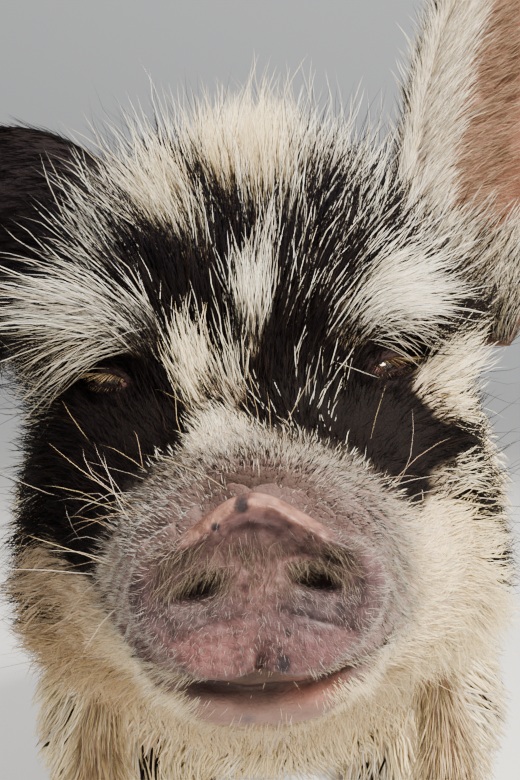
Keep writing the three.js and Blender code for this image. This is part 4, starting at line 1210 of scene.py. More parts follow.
# ------------------------------------------------------------------ strands
class Coat:
    """Gathers strands and writes them as joined solid meshes with the unwrap's patches."""

    def __init__(self, name, mat, slot, steps, thin=0.8, most=190000):
        self.name, self.mat, self.slot, self.steps, self.thin, self.most = name, mat, slot, np.array(steps), thin, most
        self.sets = []

    def add(self, pts, frames, width, c0, c1, uv, tip_warm=0.0):
        """pts (n, k+1, 3) along each strand with its tip last; frames (n, 3) an outward direction."""
        self.sets.append((pts, frames, width, c0, c1, uv))

    def write(self):
        if not self.sets:
            return []
        pts, out, width, c0, c1, uv = (np.concatenate([s[i] for s in self.sets]) for i in range(6))
        n, k = len(pts), pts.shape[1] - 1
        tris = 6 * (k - 1) + 4
        per = self.most // tris
        made = []
        for part, i in enumerate(range(0, n, per)):
            sl = slice(i, min(n, i + per))
            made.append(self._piece(f"{self.name}_{part + 1}", pts[sl], out[sl], width[sl], c0[sl], c1[sl], uv[sl], k))
        return made

    def _piece(self, name, pts, out, width, c0, c1, uv, k):
        n = len(pts)
        tan = unit(np.gradient(pts, axis=1))
        side = unit(np.cross(tan, out[:, None]))
        up = np.cross(side, tan)
        s = self.steps[:k]
        prof = np.interp(s, [0, 0.15, 0.45, 0.75, 1], [0.62, 0.95, 1.0, 0.72, 0.0])
        r = width[:, None] * 0.5 * prof[None]
        ring = np.stack([
            pts[:, :k] - side[:, :k] * r[..., None],
            pts[:, :k] + side[:, :k] * r[..., None],
            pts[:, :k] + up[:, :k] * (r * self.thin * 1.6)[..., None],
        ], 2)  # n, k, 3, 3
        v = np.concatenate([ring.reshape(n, k * 3, 3), pts[:, k:]], 1)
        vn = k * 3 + 1
        quad, tri_ = [], []
        quv, tuv = [], []
        for j in range(k - 1):
            for i in range(3):
                i2 = (i + 1) % 3
                quad.append([3 * j + i, 3 * j + i2, 3 * j + 3 + i2, 3 * j + 3 + i])
                quv.append([[i / 3, s[j]], [(i + 1) / 3, s[j]], [(i + 1) / 3, s[j + 1]], [i / 3, s[j + 1]]])
        for i in range(3):
            i2 = (i + 1) % 3
            tri_.append([3 * (k - 1) + i, 3 * (k - 1) + i2, 3 * k])
            tuv.append([[i / 3, s[k - 1]], [(i + 1) / 3, s[k - 1]], [(i + 0.5) / 3, 1]])
        tri_.append([2, 1, 0])
        tuv.append([[0.0, 0.0], [1.0, 0.0], [0.5, 0.12]])
        base = (np.arange(n) * vn)[:, None, None]
        groups = [(np.array(quad)[None] + base).reshape(-1, 4), (np.array(tri_)[None] + base).reshape(-1, 3)]
        me = new_mesh(name, place(v.reshape(-1, 3)), groups)
        t = np.concatenate([np.repeat(s, 3), [1.0]])
        col = c0[:, None] + (c1 - c0)[:, None] * (t**0.8)[None, :, None]
        add_colour(me, "Tint", np.clip(col.reshape(-1, 3), 0, 1))
        local = [np.array(quv), np.array(tuv)]
        patch = 0.003
        both = np.concatenate([(uv[:, None, None] + (q[None] - 0.5) * patch).reshape(-1, 2) for q in local])
        add_uv(me, "OFBake", both)
        if self.mat is LOCK:
            rnd = (np.arange(n) * 0.61803 % 1.0)[:, None, None]
            lock = np.concatenate([
                np.concatenate([q[None, ..., :1] * 1.0 + rnd[..., None] * 40 + np.zeros((n, 1, 1, 1)),
                                q[None, ..., 1:] * 0.35 + rnd[..., None] * 13 + np.zeros((n, 1, 1, 1))], -1).reshape(-1, 2)
                for q in local])
            add_uv(me, "Lock", lock)
        me.materials.append(self.mat)
        ob = new_object(name, me)
        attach(ob, BODY)
        return ob


def strand_points(rng, root, n, d, length, lift, steps, droop=0.25, bend=0.0, wave=0.03, sink=0.8, clump=0.0, centres=None,
                  keep=0.3, curl=0.0, pull=0.0):
    """The middle line of each strand: it leaves the skin at an angle, then bends over along the coat's lie."""
    N = len(root)
    s = np.concatenate([steps, [1.0]])
    t0 = unit(d * np.cos(lift)[:, None] + n * np.sin(lift)[:, None])
    side = unit(np.cross(d, n))
    end = unit(t0 + side * (bend * rng.normal(size=N))[:, None] + np.array([0, 0, -1.0]) * droop - n * 0.25 * np.sin(lift)[:, None] + pull)
    b = end - t0
    ph = rng.uniform(0, 2 * PI, N)
    L = length[:, None]
    sink = np.minimum(sink, 0.10 * length)[:, None]
    own = (root - n * sink)[:, None] + L[..., None] * (t0[:, None] * s[None, :, None] + 0.5 * b[:, None] * (s**2)[None, :, None])
    sway = L * wave * (np.sin(ph[:, None] + s[None] * (3.5 + 5 * curl)) - np.sin(ph)[:, None]) * s[None]
    own = own + side[:, None] * sway[..., None]
    if clump > 0 and centres is not None:
        c = own[centres]
        target = c + (own[:, :1] - c[:, :1]) * keep
        own = own + (target - own) * (clump * s**1.4)[None, :, None]
    return own


def pick_centres(rng, root, count):
    idx = rng.choice(len(root), max(2, min(count, len(root))), replace=False)
    kd = KDTree(len(idx))
    for i, k in enumerate(idx):
        kd.insert(root[k], i)
    kd.balance()
    return idx[np.array([kd.find(r)[1] for r in root])]


# the skin's triangles, for growing hair on
A3, B3, C3 = co[tri[:, 0]], co[tri[:, 1]], co[tri[:, 2]]
TRI_AREA = 0.5 * np.linalg.norm(np.cross(B3 - A3, C3 - A3), axis=1)
TRI_MID = (A3 + B3 + C3) / 3
TRI_N = unit(np.cross(B3 - A3, C3 - A3))


def scatter(rng, density, part_ok):
    """Roots over the skin at a density in strands a square millimetre."""
    want = TRI_AREA * density * part_ok
    total = want.sum()
    n = int(round(total))
    cum = np.cumsum(want)
    at = (np.arange(n) + rng.uniform(0, 1, n)) / n * total
    i = np.minimum(np.searchsorted(cum, at), len(want) - 1)
    r1, r2 = np.sqrt(rng.uniform(0, 1, n)), rng.uniform(0, 1, n)
    w = np.stack([1 - r1, r1 * (1 - r2), r1 * r2], 1)[..., None]
    t = tri[i]
    p = (co[t] * w).sum(1)
    nn = unit((VN[t] * w).sum(1))
    return p, nn, tri_part[i]


def tangent(d, n):
    d = unit(d)
    return unit(d - n * (d * n).sum(1, keepdims=True))


def lie(p, n, part):
    """The way the coat lies on the trunk, head and legs."""
    x, y, z = p.T
    head = p - np.array([0, 14, 2.0])
    head[:, 1] *= 0.9
    head = unit(head)
    side = np.clip(np.abs(n[:, 0]), 0, 1)
    trunk = np.stack([0.05 * np.sign(x), np.ones(len(p)), -0.10 - 0.38 * side], 1)
    rump = smooth(470, 540, y)
    trunk = lerp(trunk, np.stack([0.2 * np.sign(x), 0.35 + 0 * x, -1 + 0 * x], 1), rump[:, None])
    brow = np.exp(-(((np.abs(x) - 41) / 13) ** 2 + ((z - 57) / 9.5) ** 2)) * smooth(112, 100, y)
    head = lerp(head, unit(np.stack([np.sign(x), 0.35 + 0 * x, lerp(-0.05, 0.35, smooth(0, -20, x))], 1)), (0.75 * brow)[:, None])
    k = smooth(112, 165, y)
    d = lerp(head, unit(trunk), k[:, None])
    legs = np.isin(part, [1, 2, 3, 4])
    down = smooth(-100, -135, z) * legs
    d = lerp(d, np.array([0, 0.22, -1.0]), np.maximum(down, legs * 0.45)[:, None])
    d = tangent(d, n)
    # the lie wanders a little
    turn = 0.42 * vnoise(p, 26, 81) + 0.22 * vnoise(p, 9, 82)
    s = np.cross(n, d)
    return unit(d * np.cos(turn)[:, None] + s * np.sin(turn)[:, None])


WHITE, CREAM, GOLD, GREY = srgb(240, 234, 222), srgb(232, 209, 158), srgb(184, 154, 108), srgb(150, 144, 140)
BLACK, BROWN = srgb(15, 12, 13), srgb(48, 34, 28)


def hair_colours(rng, p, strand_noise=9.0, dark=1.0):
    """Colours of root and tip for strands that grow at p."""
    light, warm = marks_at(p)
    clumps = vnoise(p, strand_noise, 91) + 0.6 * vnoise(p, strand_noise * 0.4, 92)
    chance = light + 0.9 * clumps * light * (1 - light) * 1.6
    chance = np.where(light > 0.9, 0.985, np.where(light < 0.07, 0.0005 + 0.004 * smooth(90, 130, p[:, 1]), chance))
    is_light = rng.uniform(0, 1, len(p)) < chance
    r = rng.uniform(0, 1, len(p))
    w = np.clip(warm + rng.normal(0, 0.18, len(p)), 0, 1)
    lc = lerp(WHITE, CREAM, w[:, None]) * rng.uniform(0.84, 1.08, len(p))[:, None]
    lc = np.where((r < 0.10)[:, None], lerp(lc, GREY, 0.6), lc)
    lc = np.where((r > 0.95)[:, None], lerp(lc, GOLD, 0.5), lc)
    x, y, z = p.T
    # painted shade: the muzzle's hair above the mouth darker, more on the animal's left; the tan mix darkens and warms
    # the hair of the right jowl, the chin and the throat as painted shade
    shade = 1 - (0.32 + 0.30 * smooth(4, 20, x)) * smooth(46, 28, y) * smooth(-22, -12, z)
    tan = smooth(-28, -42, x) * smooth(14, 2, z) * smooth(118, 98, y) + 0.85 * smooth(-24, -32, z) * smooth(120, 60, y) * smooth(46, 26, x) + 0.7 * smooth(-44, -62, z) * smooth(190, 165, y) * smooth(60, 90, y)
    lc = lerp(lc * shade[:, None], lc * np.array([0.44, 0.355, 0.305]), (0.85 * np.clip(tan, 0, 1))[:, None])
    lc = lc * lerp(np.ones((len(p), 3)), np.array([0.98, 1.0, 1.09]), smooth(48, 34, y)[:, None])
    # painted shade: black hair on the front of the head's left side darkened against the strong light there
    painted_shade_lit_side = 1 - 0.55 * smooth(16, 28, x) * smooth(98, 86, y)
    # painted sheen: black hair on the forehead and crown tinted bluish
    painted_sheen_top = lerp(np.ones((len(p), 3)), np.array([1.12, 1.22, 1.62]), (smooth(52, 66, z) * smooth(120, 100, y))[:, None])
    dc = BLACK * painted_sheen_top * (rng.uniform(0.6, 1.5, len(p)) * painted_shade_lit_side)[:, None] * dark
    dc = np.where((r < 0.12)[:, None], lerp(dc, BROWN, 0.5), dc)
    mixed_in = np.clip(1.25 - np.abs(2 * light - 1) * 1.25, 0, 1)
    root = np.where(is_light[:, None], lc * lerp(0.84, 0.28, mixed_in)[:, None], dc)
    tip = np.where(is_light[:, None], np.minimum(lc * 1.15, 0.93), lerp(dc, srgb(38, 31, 31), (0.35 * rng.uniform(0, 1, len(p)))[:, None]))
    return root, tip, is_light


def lid_gap(p):
    """How far points are outside either eye's lid opening."""
    best = np.full(len(p), 99.0)
    for side in (1, -1):
        c, e1, e2, out = eye_axes(side)
        w = p - c
        f = lid_distance(w @ e1, w @ e2)
        ok = ((w @ out) > 0) & (np.linalg.norm(w, axis=1) < 26)
        best = np.where(ok, np.minimum(best, f), best)
    return best


def mouth_gap(p):
    x, y, z = p.T
    m = lerp(-22.4 + 3.0 * (np.abs(x) / 17.0) ** 2, -19.0 + 0.135 * y, smooth(7, 15, y))
    return np.where((y > 4) & (y < 66), np.abs(z - m), 99)


# ---- the head
tx, ty, tz = TRI_MID.T
on_body = (tri_part == 0).astype(float)
gap = lid_gap(TRI_MID)
lip_zone = (1 - smooth(11, 17, ty)) * smooth(-29.8, -27.6, tz) * smooth(-15, -19, tz) * smooth(14.5, 10.0, np.abs(tx - 0.5))
shut = np.maximum(smooth(0.6, 1.6, mouth_gap(TRI_MID)), smooth(11, 16, np.abs(tx)))
bare = smooth(0.35, 1.3, gap) * shut * (1 - 0.97 * lip_zone)
rng = np.random.default_rng(11)


def head_field(p):
    """Length and lift of the coat on the head, and which way its tips bend."""
    x, y, z = p.T
    ax = np.abs(x)
    low = np.interp(y, [6, 12, 22, 34, 46, 60, 75, 95, 120, 150], [1.5, 2.8, 4.6, 6.5, 8.5, 11, 14, 18, 23, 27])
    high = np.interp(y, [6, 12, 22, 34, 46, 60, 75, 90, 120, 150], [1.5, 2.8, 4.6, 7.0, 10, 15.5, 22, 27, 29, 28])
    up = smooth(22, 52, z)
    L = lerp(low, high, up)
    lift = lerp(np.interp(y, [6, 15, 30, 50, 80, 120, 150], [0.34, 0.30, 0.28, 0.28, 0.36, 0.42, 0.36]),
                np.interp(y, [6, 15, 30, 50, 70, 90, 120, 150], [0.36, 0.32, 0.32, 0.36, 0.46, 0.56, 0.55, 0.38]), up)
    fluff = smooth(44, 60, ax) * smooth(34, 6, z) * smooth(40, 60, y)
    L = L * (1 + 0.28 * fluff)
    lift = lift + 0.16 * fluff
    brow = np.exp(-(((ax - 36) / 12) ** 2 + ((z - 55) / 10) ** 2)) * (y < 110)
    L = L * (1 + lerp(-0.24, 0.30, smooth(0, -20, x)) * brow)
    lift = lift + 0.10 * brow
    temple = smooth(42, 56, ax) * smooth(86, 98, y) * smooth(20, 45, z)
    L = L * (1 + 0.25 * temple)
    dark_eye = np.exp(-(((ax - 37) / 15) ** 2 + ((z - 28) / 13) ** 2)) * (y < 90)
    L = L * (1 - 0.28 * dark_eye)
    lift = lift * (1 - 0.5 * dark_eye)
    chin = smooth(-24, -34, z) * smooth(20, 40, y)
    L = L * (1 + 0.25 * chin)
    corner = smooth(12, 17, np.abs(x - 1.5))
    lip_side = smooth(-18.5 + 5.0 * corner, -21.5 + 4.5 * corner, z) * smooth(22, 13, y)
    L = np.maximum(L, lip_side * (3.0 + 3.4 * smooth(-25, -31, z) + 3.0 * corner))
    f = lid_gap(p)
    L = L * (0.35 + 0.65 * smooth(2, 9, f))
    sx = np.sign(x)
    pull = np.stack([sx * (1.05 * brow + 0.30 * temple), 0.1 * brow, lerp(-0.75, 0.10, smooth(50, 70, z)) * brow + 0.20 * temple], 1)
    crown = smooth(70, 95, z)
    pull = pull + crown[:, None] * np.array([0, -0.10, 0.16])
    pull = pull + 0.14 * np.stack([vnoise(p, 12, 83), 0 * x, vnoise(p, 12, 84)], 1)
    return L, lift, pull


def head_strands(coat, p, n, part, w, grow, clump, per, stray, keep=0.55):
    L, lift, pull = head_field(p)
    L = L * rng.uniform(grow[0], grow[1], len(p))
    d = lie(p, n, part)
    lift = np.clip(lift + rng.normal(0, 0.13, len(p)), 0.05, 1.15)
    d = unit(d + np.cross(n, d) * rng.normal(0, stray, len(p))[:, None])
    c0, c1, is_l = hair_colours(rng, p, 6.0)
    width = w * rng.uniform(0.72, 1.3, len(p)) * np.where(is_l, 1.06, 0.95)
    cen = pick_centres(rng, p, max(3, len(p) // per))
    pts = strand_points(rng, p, n, d, L, lift, coat.steps, droop=0.08, bend=0.16, wave=0.045, clump=clump, centres=cen,
                        keep=keep, curl=0.3, pull=pull)
    coat.add(pts, n, width, c0, c1, unwrap(p, part))


on_top_t = smooth(0.1, 0.6, np.sin(np.arctan2(tz - WIDE(ty), tx)))
wrinkled = 1 - 0.90 * on_top_t * smooth(24, 15, ty) * gauss(tx / 19)
muz = Coat("coat_muzzle", HAIR, "coat_face", [0, 0.5])
dens = np.interp(ty, [5.0, 7, 12, 34, 42], [0, 2.1, 2.9, 2.4, 2.1])
low_rim = smooth(12, 17, np.abs(tx - 1.5))
dens = np.maximum(dens, (3.3 + 0.5 * low_rim) * smooth(-19.5 + 5.5 * low_rim, -21.5 + 5.0 * low_rim, tz) * (ty > 2.6) * smooth(24, 14, ty)) * (ty < 42) * bare * wrinkled * on_body
p, n, part = scatter(rng, dens, 1.0)
print("muzzle strands", len(p))
head_strands(muz, p, n, part, np.interp(p[:, 1], [6, 20, 42], [0.09, 0.125, 0.165]) * lerp(1.0, 1.25, smooth(-18, -22, p[:, 2]) * smooth(20, 12, p[:, 1])), (0.6, 1.2), 0.30, 6, 0.20)
muz.write()
fine = Coat("coat_face", HAIR, "coat_face", [0, 0.34, 0.7])
dens = np.interp(ty, [42, 50, 92, 112, 122], [1.4, 1.15, 0.95, 0.45, 0.0]) * (ty >= 42) * bare * on_body
dens *= lerp(0.85, 1.12, smooth(15, 40, tz)) * lerp(0.6, 1.0, smooth(-60, -35, tz)) * lerp(0.92, 1.42, smooth(0.6, 0.95, marks_at(TRI_MID)[0]) * smooth(20, 36, tz))
thick = sum(gauss(np.hypot(np.hypot((tx - a) / ra, (tz - b) / rb), (ty - c) / 30)) for a, b, c, ra, rb in (
    (3, 102, 98, 17, 13), (36, 58, 77, 10, 7), (-8, 29, 47, 7, 6), (-13, 39, 60, 7, 8), (1, 53, 70, 4, 7)))
dens *= 1 + 0.75 * np.clip(thick, 0, 1)
p, n, part = scatter(rng, dens, 1.0)
print("face strands", len(p))
jowl = (np.abs(p[:, 0]) > 37) & (p[:, 2] < 16) & (p[:, 1] > 46)
wf = np.interp(p[:, 1], [42, 80, 105, 120], [0.18, 0.22, 0.27, 0.4])
head_strands(fine, p[~jowl], n[~jowl], part[~jowl], wf[~jowl], (0.55, 1.25), 0.42, 9, 0.15)
head_strands(fine, p[jowl], n[jowl], part[jowl], wf[jowl], (0.5, 1.25), 0.66, 12, 0.26, keep=0.3)
fine.write()

# long bristles over brows, crown and cheeks
longs = Coat("coat_bristles", HAIR, "coat_face", [0, 0.22, 0.48, 0.76])
bx = np.abs(tx)
brow_d = np.exp(-(((bx - 38) / 14) ** 2 + ((tz - 55) / 11) ** 2)) * (ty < 108)
dens = (0.15 * brow_d + 0.085 * smooth(62, 85, ty) * smooth(30, 55, tz) + 0.004 * smooth(30, 50, ty)
        + 0.03 * smooth(80, 95, ty)) * bare * on_body * (1 - smooth(125, 140, ty))
p, n, part = scatter(rng, dens * (ty < 140), 1.0)
print("bristles", len(p))
head_strands(longs, p, n, part, 0.19, (1.15, 1.75), 0.12, 5, 0.24, keep=0.8)
dens = 0.62 * np.exp(-(((bx - 38) / 10) ** 2 + ((tz - 54) / 4.5) ** 2)) * (ty < 100) * bare * on_body
p, n, part = scatter(rng, dens, 1.0)
print("brow fringe strands", len(p))
out_l = np.stack([np.sign(p[:, 0]), 0.10 + 0 * p[:, 0], rng.normal(-0.28, 0.22, len(p))], 1)
d = tangent(out_l, n)
c = lerp(WHITE, CREAM, rng.uniform(0.0, 0.7, len(p))[:, None]) * rng.uniform(0.55, 1.0, (len(p), 1))
pts = strand_points(rng, p, n, d, np.where(p[:, 0] < 0, 27.0, 17.0) * rng.uniform(0.55, 1.25, len(p)), np.clip(rng.normal(0.62, 0.16, len(p)), 0.2, 1.2), longs.steps, droop=0.55,
                    bend=0.2, wave=0.05, clump=0.2, centres=pick_centres(rng, p, len(p) // 5))
longs.add(pts, n, 0.16 * rng.uniform(0.7, 1.3, len(p)), c * 0.55, c, unwrap(p, part))
# long pale whiskers that curve out from the muzzle's sides and over the cheeks
wx = np.abs(tx)
dens = 0.030 * gauss((ty - 34) / 13) * gauss((tz - 6) / 14) * smooth(16, 24, wx) * on_body * bare
p, n, part = scatter(rng, dens, 1.0)
print("cheek whiskers", len(p))
d = lie(p, n, part)
d = unit(d + np.cross(n, d) * rng.normal(0, 0.4, len(p))[:, None])
c = lerp(WHITE, srgb(196, 164, 138), rng.uniform(0.1, 1, len(p))[:, None]) * rng.uniform(0.6, 1.0, (len(p), 1))
pts = strand_points(rng, p, n, d, rng.uniform(15, 30, len(p)), np.clip(rng.normal(0.6, 0.2, len(p)), 0.2, 1.2), longs.steps, droop=0.35, bend=0.7, wave=0.05)
longs.add(pts, n, 0.115 * rng.uniform(0.8, 1.2, len(p)), c * 0.8, c, unwrap(p, part))
longs.write()

# ---- neck, trunk
neck = Coat("coat_neck", HAIR, "coat_body", [0, 0.34, 0.7], thin=0.6)
front = smooth(0.0, -0.5, TRI_N[:, 1]) * smooth(-20, -50, tz)
dens = np.interp(ty, [104, 118, 150, 200, 212], [0, 0.165, 0.118, 0.09, 0.0]) * on_body * (1 + 0.7 * front)
p, n, part = scatter(rng, dens, 1.0)
print("neck strands", len(p))


def trunk_strands(rng, coat, p, n, part, w0, clump, per, curl=0.4):
    x, y, z = p.T
    L = np.interp(y, [104, 150, 220, 400, 520, 570], [26, 29, 33, 34, 30, 24])
    L = L * (1 + 0.15 * smooth(0.2, 0.9, n[:, 2])) * (1 - 0.30 * smooth(-0.3, -0.95, n[:, 2]))
    legs = np.isin(part, [1, 2, 3, 4])
    h = z + DISC_HEIGHT
    L = np.where(legs, np.interp(h, [15, 45, 90, 130, 180], [7.5, 11.0, 15, 20, 28]), L)
    L = L * rng.uniform(0.65, 1.2, len(p))
    lift = np.where(legs, np.interp(h, [15, 60, 150], [0.42, 0.34, 0.26]), 0.30 - 0.04 * smooth(200, 300, y)) + rng.normal(0, 0.07, len(p))
    lift = np.clip(lift, 0.06, 0.8)
    d = lie(p, n, part)
    d = unit(d + np.cross(n, d) * rng.normal(0, 0.16, len(p))[:, None])
    cen = pick_centres(rng, p, max(3, len(p) // per))
    c0, c1, is_l = hair_colours(rng, p, 14.0)
    # the lower legs' hair is stained and broken in colour
    low = legs * smooth(95, 45, h)
    stain = np.clip(0.5 + 1.2 * fbm(p, 22, 97, 2) + 0.25 * rng.normal(0, 1, len(p)), 0, 1) * low
    c0, c1 = (c * lerp(np.ones((len(p), 3)), np.array([0.52, 0.42, 0.33]), (0.8 * stain)[:, None]) for c in (c0, c1))
    # strands of a lock share its colour for the most part
    share = rng.uniform(0, 1, len(p)) < 0.6
    c0 = np.where(share[:, None], c0[cen] * rng.uniform(0.85, 1.12, len(p))[:, None], c0)
    c1 = np.where(share[:, None], c1[cen] * rng.uniform(0.85, 1.12, len(p))[:, None], c1)
    pts = strand_points(rng, p, n, d, L, lift, coat.steps, droop=0.12, bend=0.16, wave=0.06, clump=clump, centres=cen,
                        keep=0.35, curl=curl)
    coat.add(pts, n, w0 * rng.uniform(0.7, 1.3, len(p)), c0, c1, unwrap(p, part))


trunk_strands(rng, neck, p, n, part, lerp(0.40, 1.0, smooth(110, 190, p[:, 1])), 0.45, 8)
neck.write()
trunk = Coat("coat_trunk", LOCK, "coat_body", [0, 0.34, 0.7], thin=0.5)
dens = np.interp(ty, [192, 212, 300, 520, 560], [0, 0.082, 0.067, 0.073, 0.10]) * on_body
high_leg = np.isin(tri_part, [1, 2, 3, 4]) * smooth(78, 100, tz + DISC_HEIGHT)
dens = dens + high_leg * (0.085 + 0.11 * (ty < 300) * smooth(0.3, -0.4, TRI_N[:, 1]))
p, n, part = scatter(rng, dens, 1.0)
print("trunk locks", len(p))
wide_lock = np.interp(p[:, 1], [195, 230, 300, 560], [0.95, 1.1, 1.5, 1.5])
far = p[:, 1] > 262
trunk_strands(rng, trunk, p[~far], n[~far], part[~far], wide_lock[~far], 0.5, 6)
trunk.write()
trunk = Coat("coat_back", LOCK, "coat_body", [0, 0.45], thin=0.5)
trunk_strands(rng, trunk, p[far], n[far], part[far], wide_lock[far] * 1.05, 0.5, 6)
trunk.write()

# ---- legs
legs_c = Coat("coat_legs", HAIR, "coat_leg", [0, 0.5], thin=0.5)
is_leg = np.isin(tri_part, [1, 2, 3, 4]).astype(float)
h = tz + DISC_HEIGHT
dens = np.interp(h, [17, 20, 45, 85, 102], [0.25, 0.44, 0.32, 0.18, 0.0]) * is_leg
p, n, part = scatter(rng, dens, 1.0)
print("leg strands", len(p))
hh = p[:, 2] + DISC_HEIGHT
trunk_strands(rng, legs_c, p, n, part, np.interp(hh, [15, 45, 100, 180], [0.48, 0.60, 0.95, 1.25]), 0.35, 6)
legs_c.write()

# ---- ears
EAR_LONG = Coat("coat_ears", HAIR, "ear_skin", [0, 0.4, 0.75])
EAR_SHORT = Coat("coat_ears_short", HAIR, "ear_skin", [0, 0.5])


def ear_hair(side, count, face, t_range, u_fun, length, width, lift, toward, colour, seed, clump=0.2):
    ear_c = EAR_LONG if length > 13 else EAR_SHORT
    r = np.random.default_rng(seed)
    ear = ears[side]
    t = r.uniform(t_range[0], t_range[1], count)
    u = u_fun(r, count)
    k = np.full(count, face)
    p, al, ac, out = ear.at(t, u, k)
    d = unit(al * toward[0] + ac * toward[1] + r.normal(0, 0.16, (count, 3)))
    d = unit(d - out * (d * out).sum(1, keepdims=True))
    L = length * r.uniform(0.6, 1.2, count) * lerp(1.0, 0.75, smooth(0.6, 1.0, t))
    lf = np.clip(lift + r.normal(0, 0.08, count), 0.03, 1.2)
    c0, c1 = colour(r, p, t, u)
    cen = pick_centres(r, p, max(3, count // 6))
    pts = strand_points(r, p, out, d, L, lf, ear_c.steps, droop=0.08, bend=0.2, wave=0.04, sink=0.4, clump=clump, centres=cen, keep=0.5)
    part = np.full(count, 5 if side > 0 else 6)
    ear_c.add(pts, out, width * r.uniform(0.75, 1.25, count), c0, c1, unwrap(p, part))


def pale(r, p, t, u):
    w = r.uniform(0.1, 0.8, len(p))[:, None]
    c = lerp(WHITE, CREAM, w) * r.uniform(0.7, 1.0, (len(p), 1))
    c = np.where(r.uniform(0, 1, (len(p), 1)) < 0.18, lerp(c, GREY, 0.7), c)
    return c * 0.7, c


def golden(r, p, t, u):
    c = lerp(CREAM, GOLD, r.uniform(0.2, 0.9, len(p))[:, None]) * r.uniform(0.7, 1.0, (len(p), 1))
    return c * 0.75, c


def sleek(r, p, t, u):
    c = BLACK * r.uniform(0.6, 1.4, (len(p), 1))
    return c, c * 1.25


even = lambda r, c: r.uniform(-0.97, 0.97, c)
def mixed(r, p, t, u):
    c0, c1 = pale(r, p, t, u)
    dark = r.uniform(0, 1, (len(p), 1)) < 0.42
    return np.where(dark, BLACK * 1.3, c0 * 0.5), np.where(dark, BLACK * 2.2, c1)


def straw(r, p, t, u):
    c = lerp(srgb(176, 150, 124), srgb(106, 80, 63), r.uniform(0.0, 1.0, len(p))[:, None]) * r.uniform(0.7, 1.05, (len(p), 1))
    return c * 0.6, c


# the pricked ear: furred back, a fringe on its front edge, straw hair across the hollow
ear_hair(1, 2000, -1, (0.12, 0.99), even, 11.0, 0.30, 0.22, (1.0, -0.15), mixed, 101)
ear_hair(1, 1800, -1, (0.08, 0.98), lambda r, c: -1 + r.uniform(0, 0.25, c), 17.0, 0.22, 0.36, (1.0, -0.35), mixed, 102)
ear_hair(1, 1900, 1, (0.03, 0.97), lambda r, c: -1 + r.uniform(0, 0.40, c) ** 1.2, 15.0, 0.17, 0.34, (1.0, 0.35), pale, 103)
ear_hair(1, 1700, 1, (0.02, 0.93), lambda r, c: -0.85 + r.uniform(0, 0.75, c), 15.0, 0.17, 0.34, (0.75, 0.8), straw, 106)
ear_hair(1, 500, 1, (0.10, 0.97), lambda r, c: 1 - r.uniform(0, 0.2, c), 10.0, 0.20, 0.35, (1.0, 0.3), pale, 104)
ear_hair(1, 1200, 1, (0.05, 0.95), even, 10.0, 0.15, 0.26, (0.45, 0.9), straw, 105)
ear_hair(1, 900, 1, (0.0, 0.22), even, 20.0, 0.22, 0.40, (1.0, 0.45), mixed, 107)
ear_hair(1, 1300, 1, (0.02, 0.98), lambda r, c: -1 + r.uniform(0, 0.06, c), 11.0, 0.20, 0.10, (1.0, -0.22), pale, 108)
ear_hair(1, 800, -1, (0.02, 0.98), lambda r, c: -1 + r.uniform(0, 0.05, c), 12.0, 0.20, 0.05, (1.0, -0.30), pale, 109)
ear_hair(1, 800, 1, (0.0, 0.2), lambda r, c: 1 - r.uniform(0, 0.7, c), 15.0, 0.22, 0.30, (1.0, 0.1), mixed, 110)
ear_hair(1, 600, -1, (0.0, 0.36), lambda r, c: 1 - r.uniform(0, 0.22, c), 14.0, 0.22, 0.32, (1.0, 0.35), mixed, 114)
ear_hair(1, 500, 1, (0.0, 0.36), lambda r, c: 1 - r.uniform(0, 0.12, c), 14.0, 0.22, 0.30, (1.0, 0.25), mixed, 115)
# the flopped ear: sleek black back, thin hair inside
ear_hair(-1, 4000, -1, (0.04, 0.99), even, 10.0, 0.28, 0.14, (1.0, 0.0), sleek, 111, 0.3)
ear_hair(-1, 900, -1, (0.1, 0.99), lambda r, c: np.where(r.uniform(0, 1, c) < 0.5, -1, 1) * (1 - r.uniform(0, 0.1, c)), 10.0, 0.22, 0.3, (1.0, 0.0), sleek, 112)
ear_hair(-1, 2000, 1, (0.05, 0.98), even, 12.0, 0.26, 0.25, (1.0, 0.2), sleek, 113)
EAR_LONG.write()
EAR_SHORT.write()

# ---- tail
tail_c = Coat("coat_tail", HAIR, "coat_body", [0, 0.34, 0.7], thin=0.6)
on_tail = (tri_part == 7).astype(float)
dens = np.interp(tz, [-125, -100, -40, 0, 10], [1.3, 0.66, 0.29, 0.19, 0.17]) * on_tail
p, n, part = scatter(rng, dens, 1.0)
print("tail strands", len(p))
d = tangent(np.array([[0, 0.1, -1.0]]).repeat(len(p), 0), n)
L = np.interp(p[:, 2], [-125, -100, -60, 0], [40, 34, 20, 19]) * rng.uniform(0.45, 1.15, len(p))
lift = np.clip(np.interp(p[:, 2], [-125, -80, 0], [0.24, 0.32, 0.36]) + rng.normal(0, 0.14, len(p)), 0.03, 0.9)
c0, c1, _ = hair_colours(rng, p, 10)
some = (rng.uniform(0, 1, (len(p), 1)) < 0.16) | ((vnoise(p, 9.0, 95) > 0.35)[:, None] & (rng.uniform(0, 1, (len(p), 1)) < 0.5))
c0, c1 = np.where(some, BROWN * 0.8, c0 * 0.8), np.where(some, BROWN * 1.6, c1)
pts = strand_points(rng, p, n, d, L, lift, tail_c.steps, droop=0.35, bend=0.16, wave=0.07, clump=0.55, centres=pick_centres(rng, p, len(p) // 10), curl=0.4)
tail_c.add(pts, n, 0.44 * rng.uniform(0.7, 1.3, len(p)), c0, c1, unwrap(p, part))
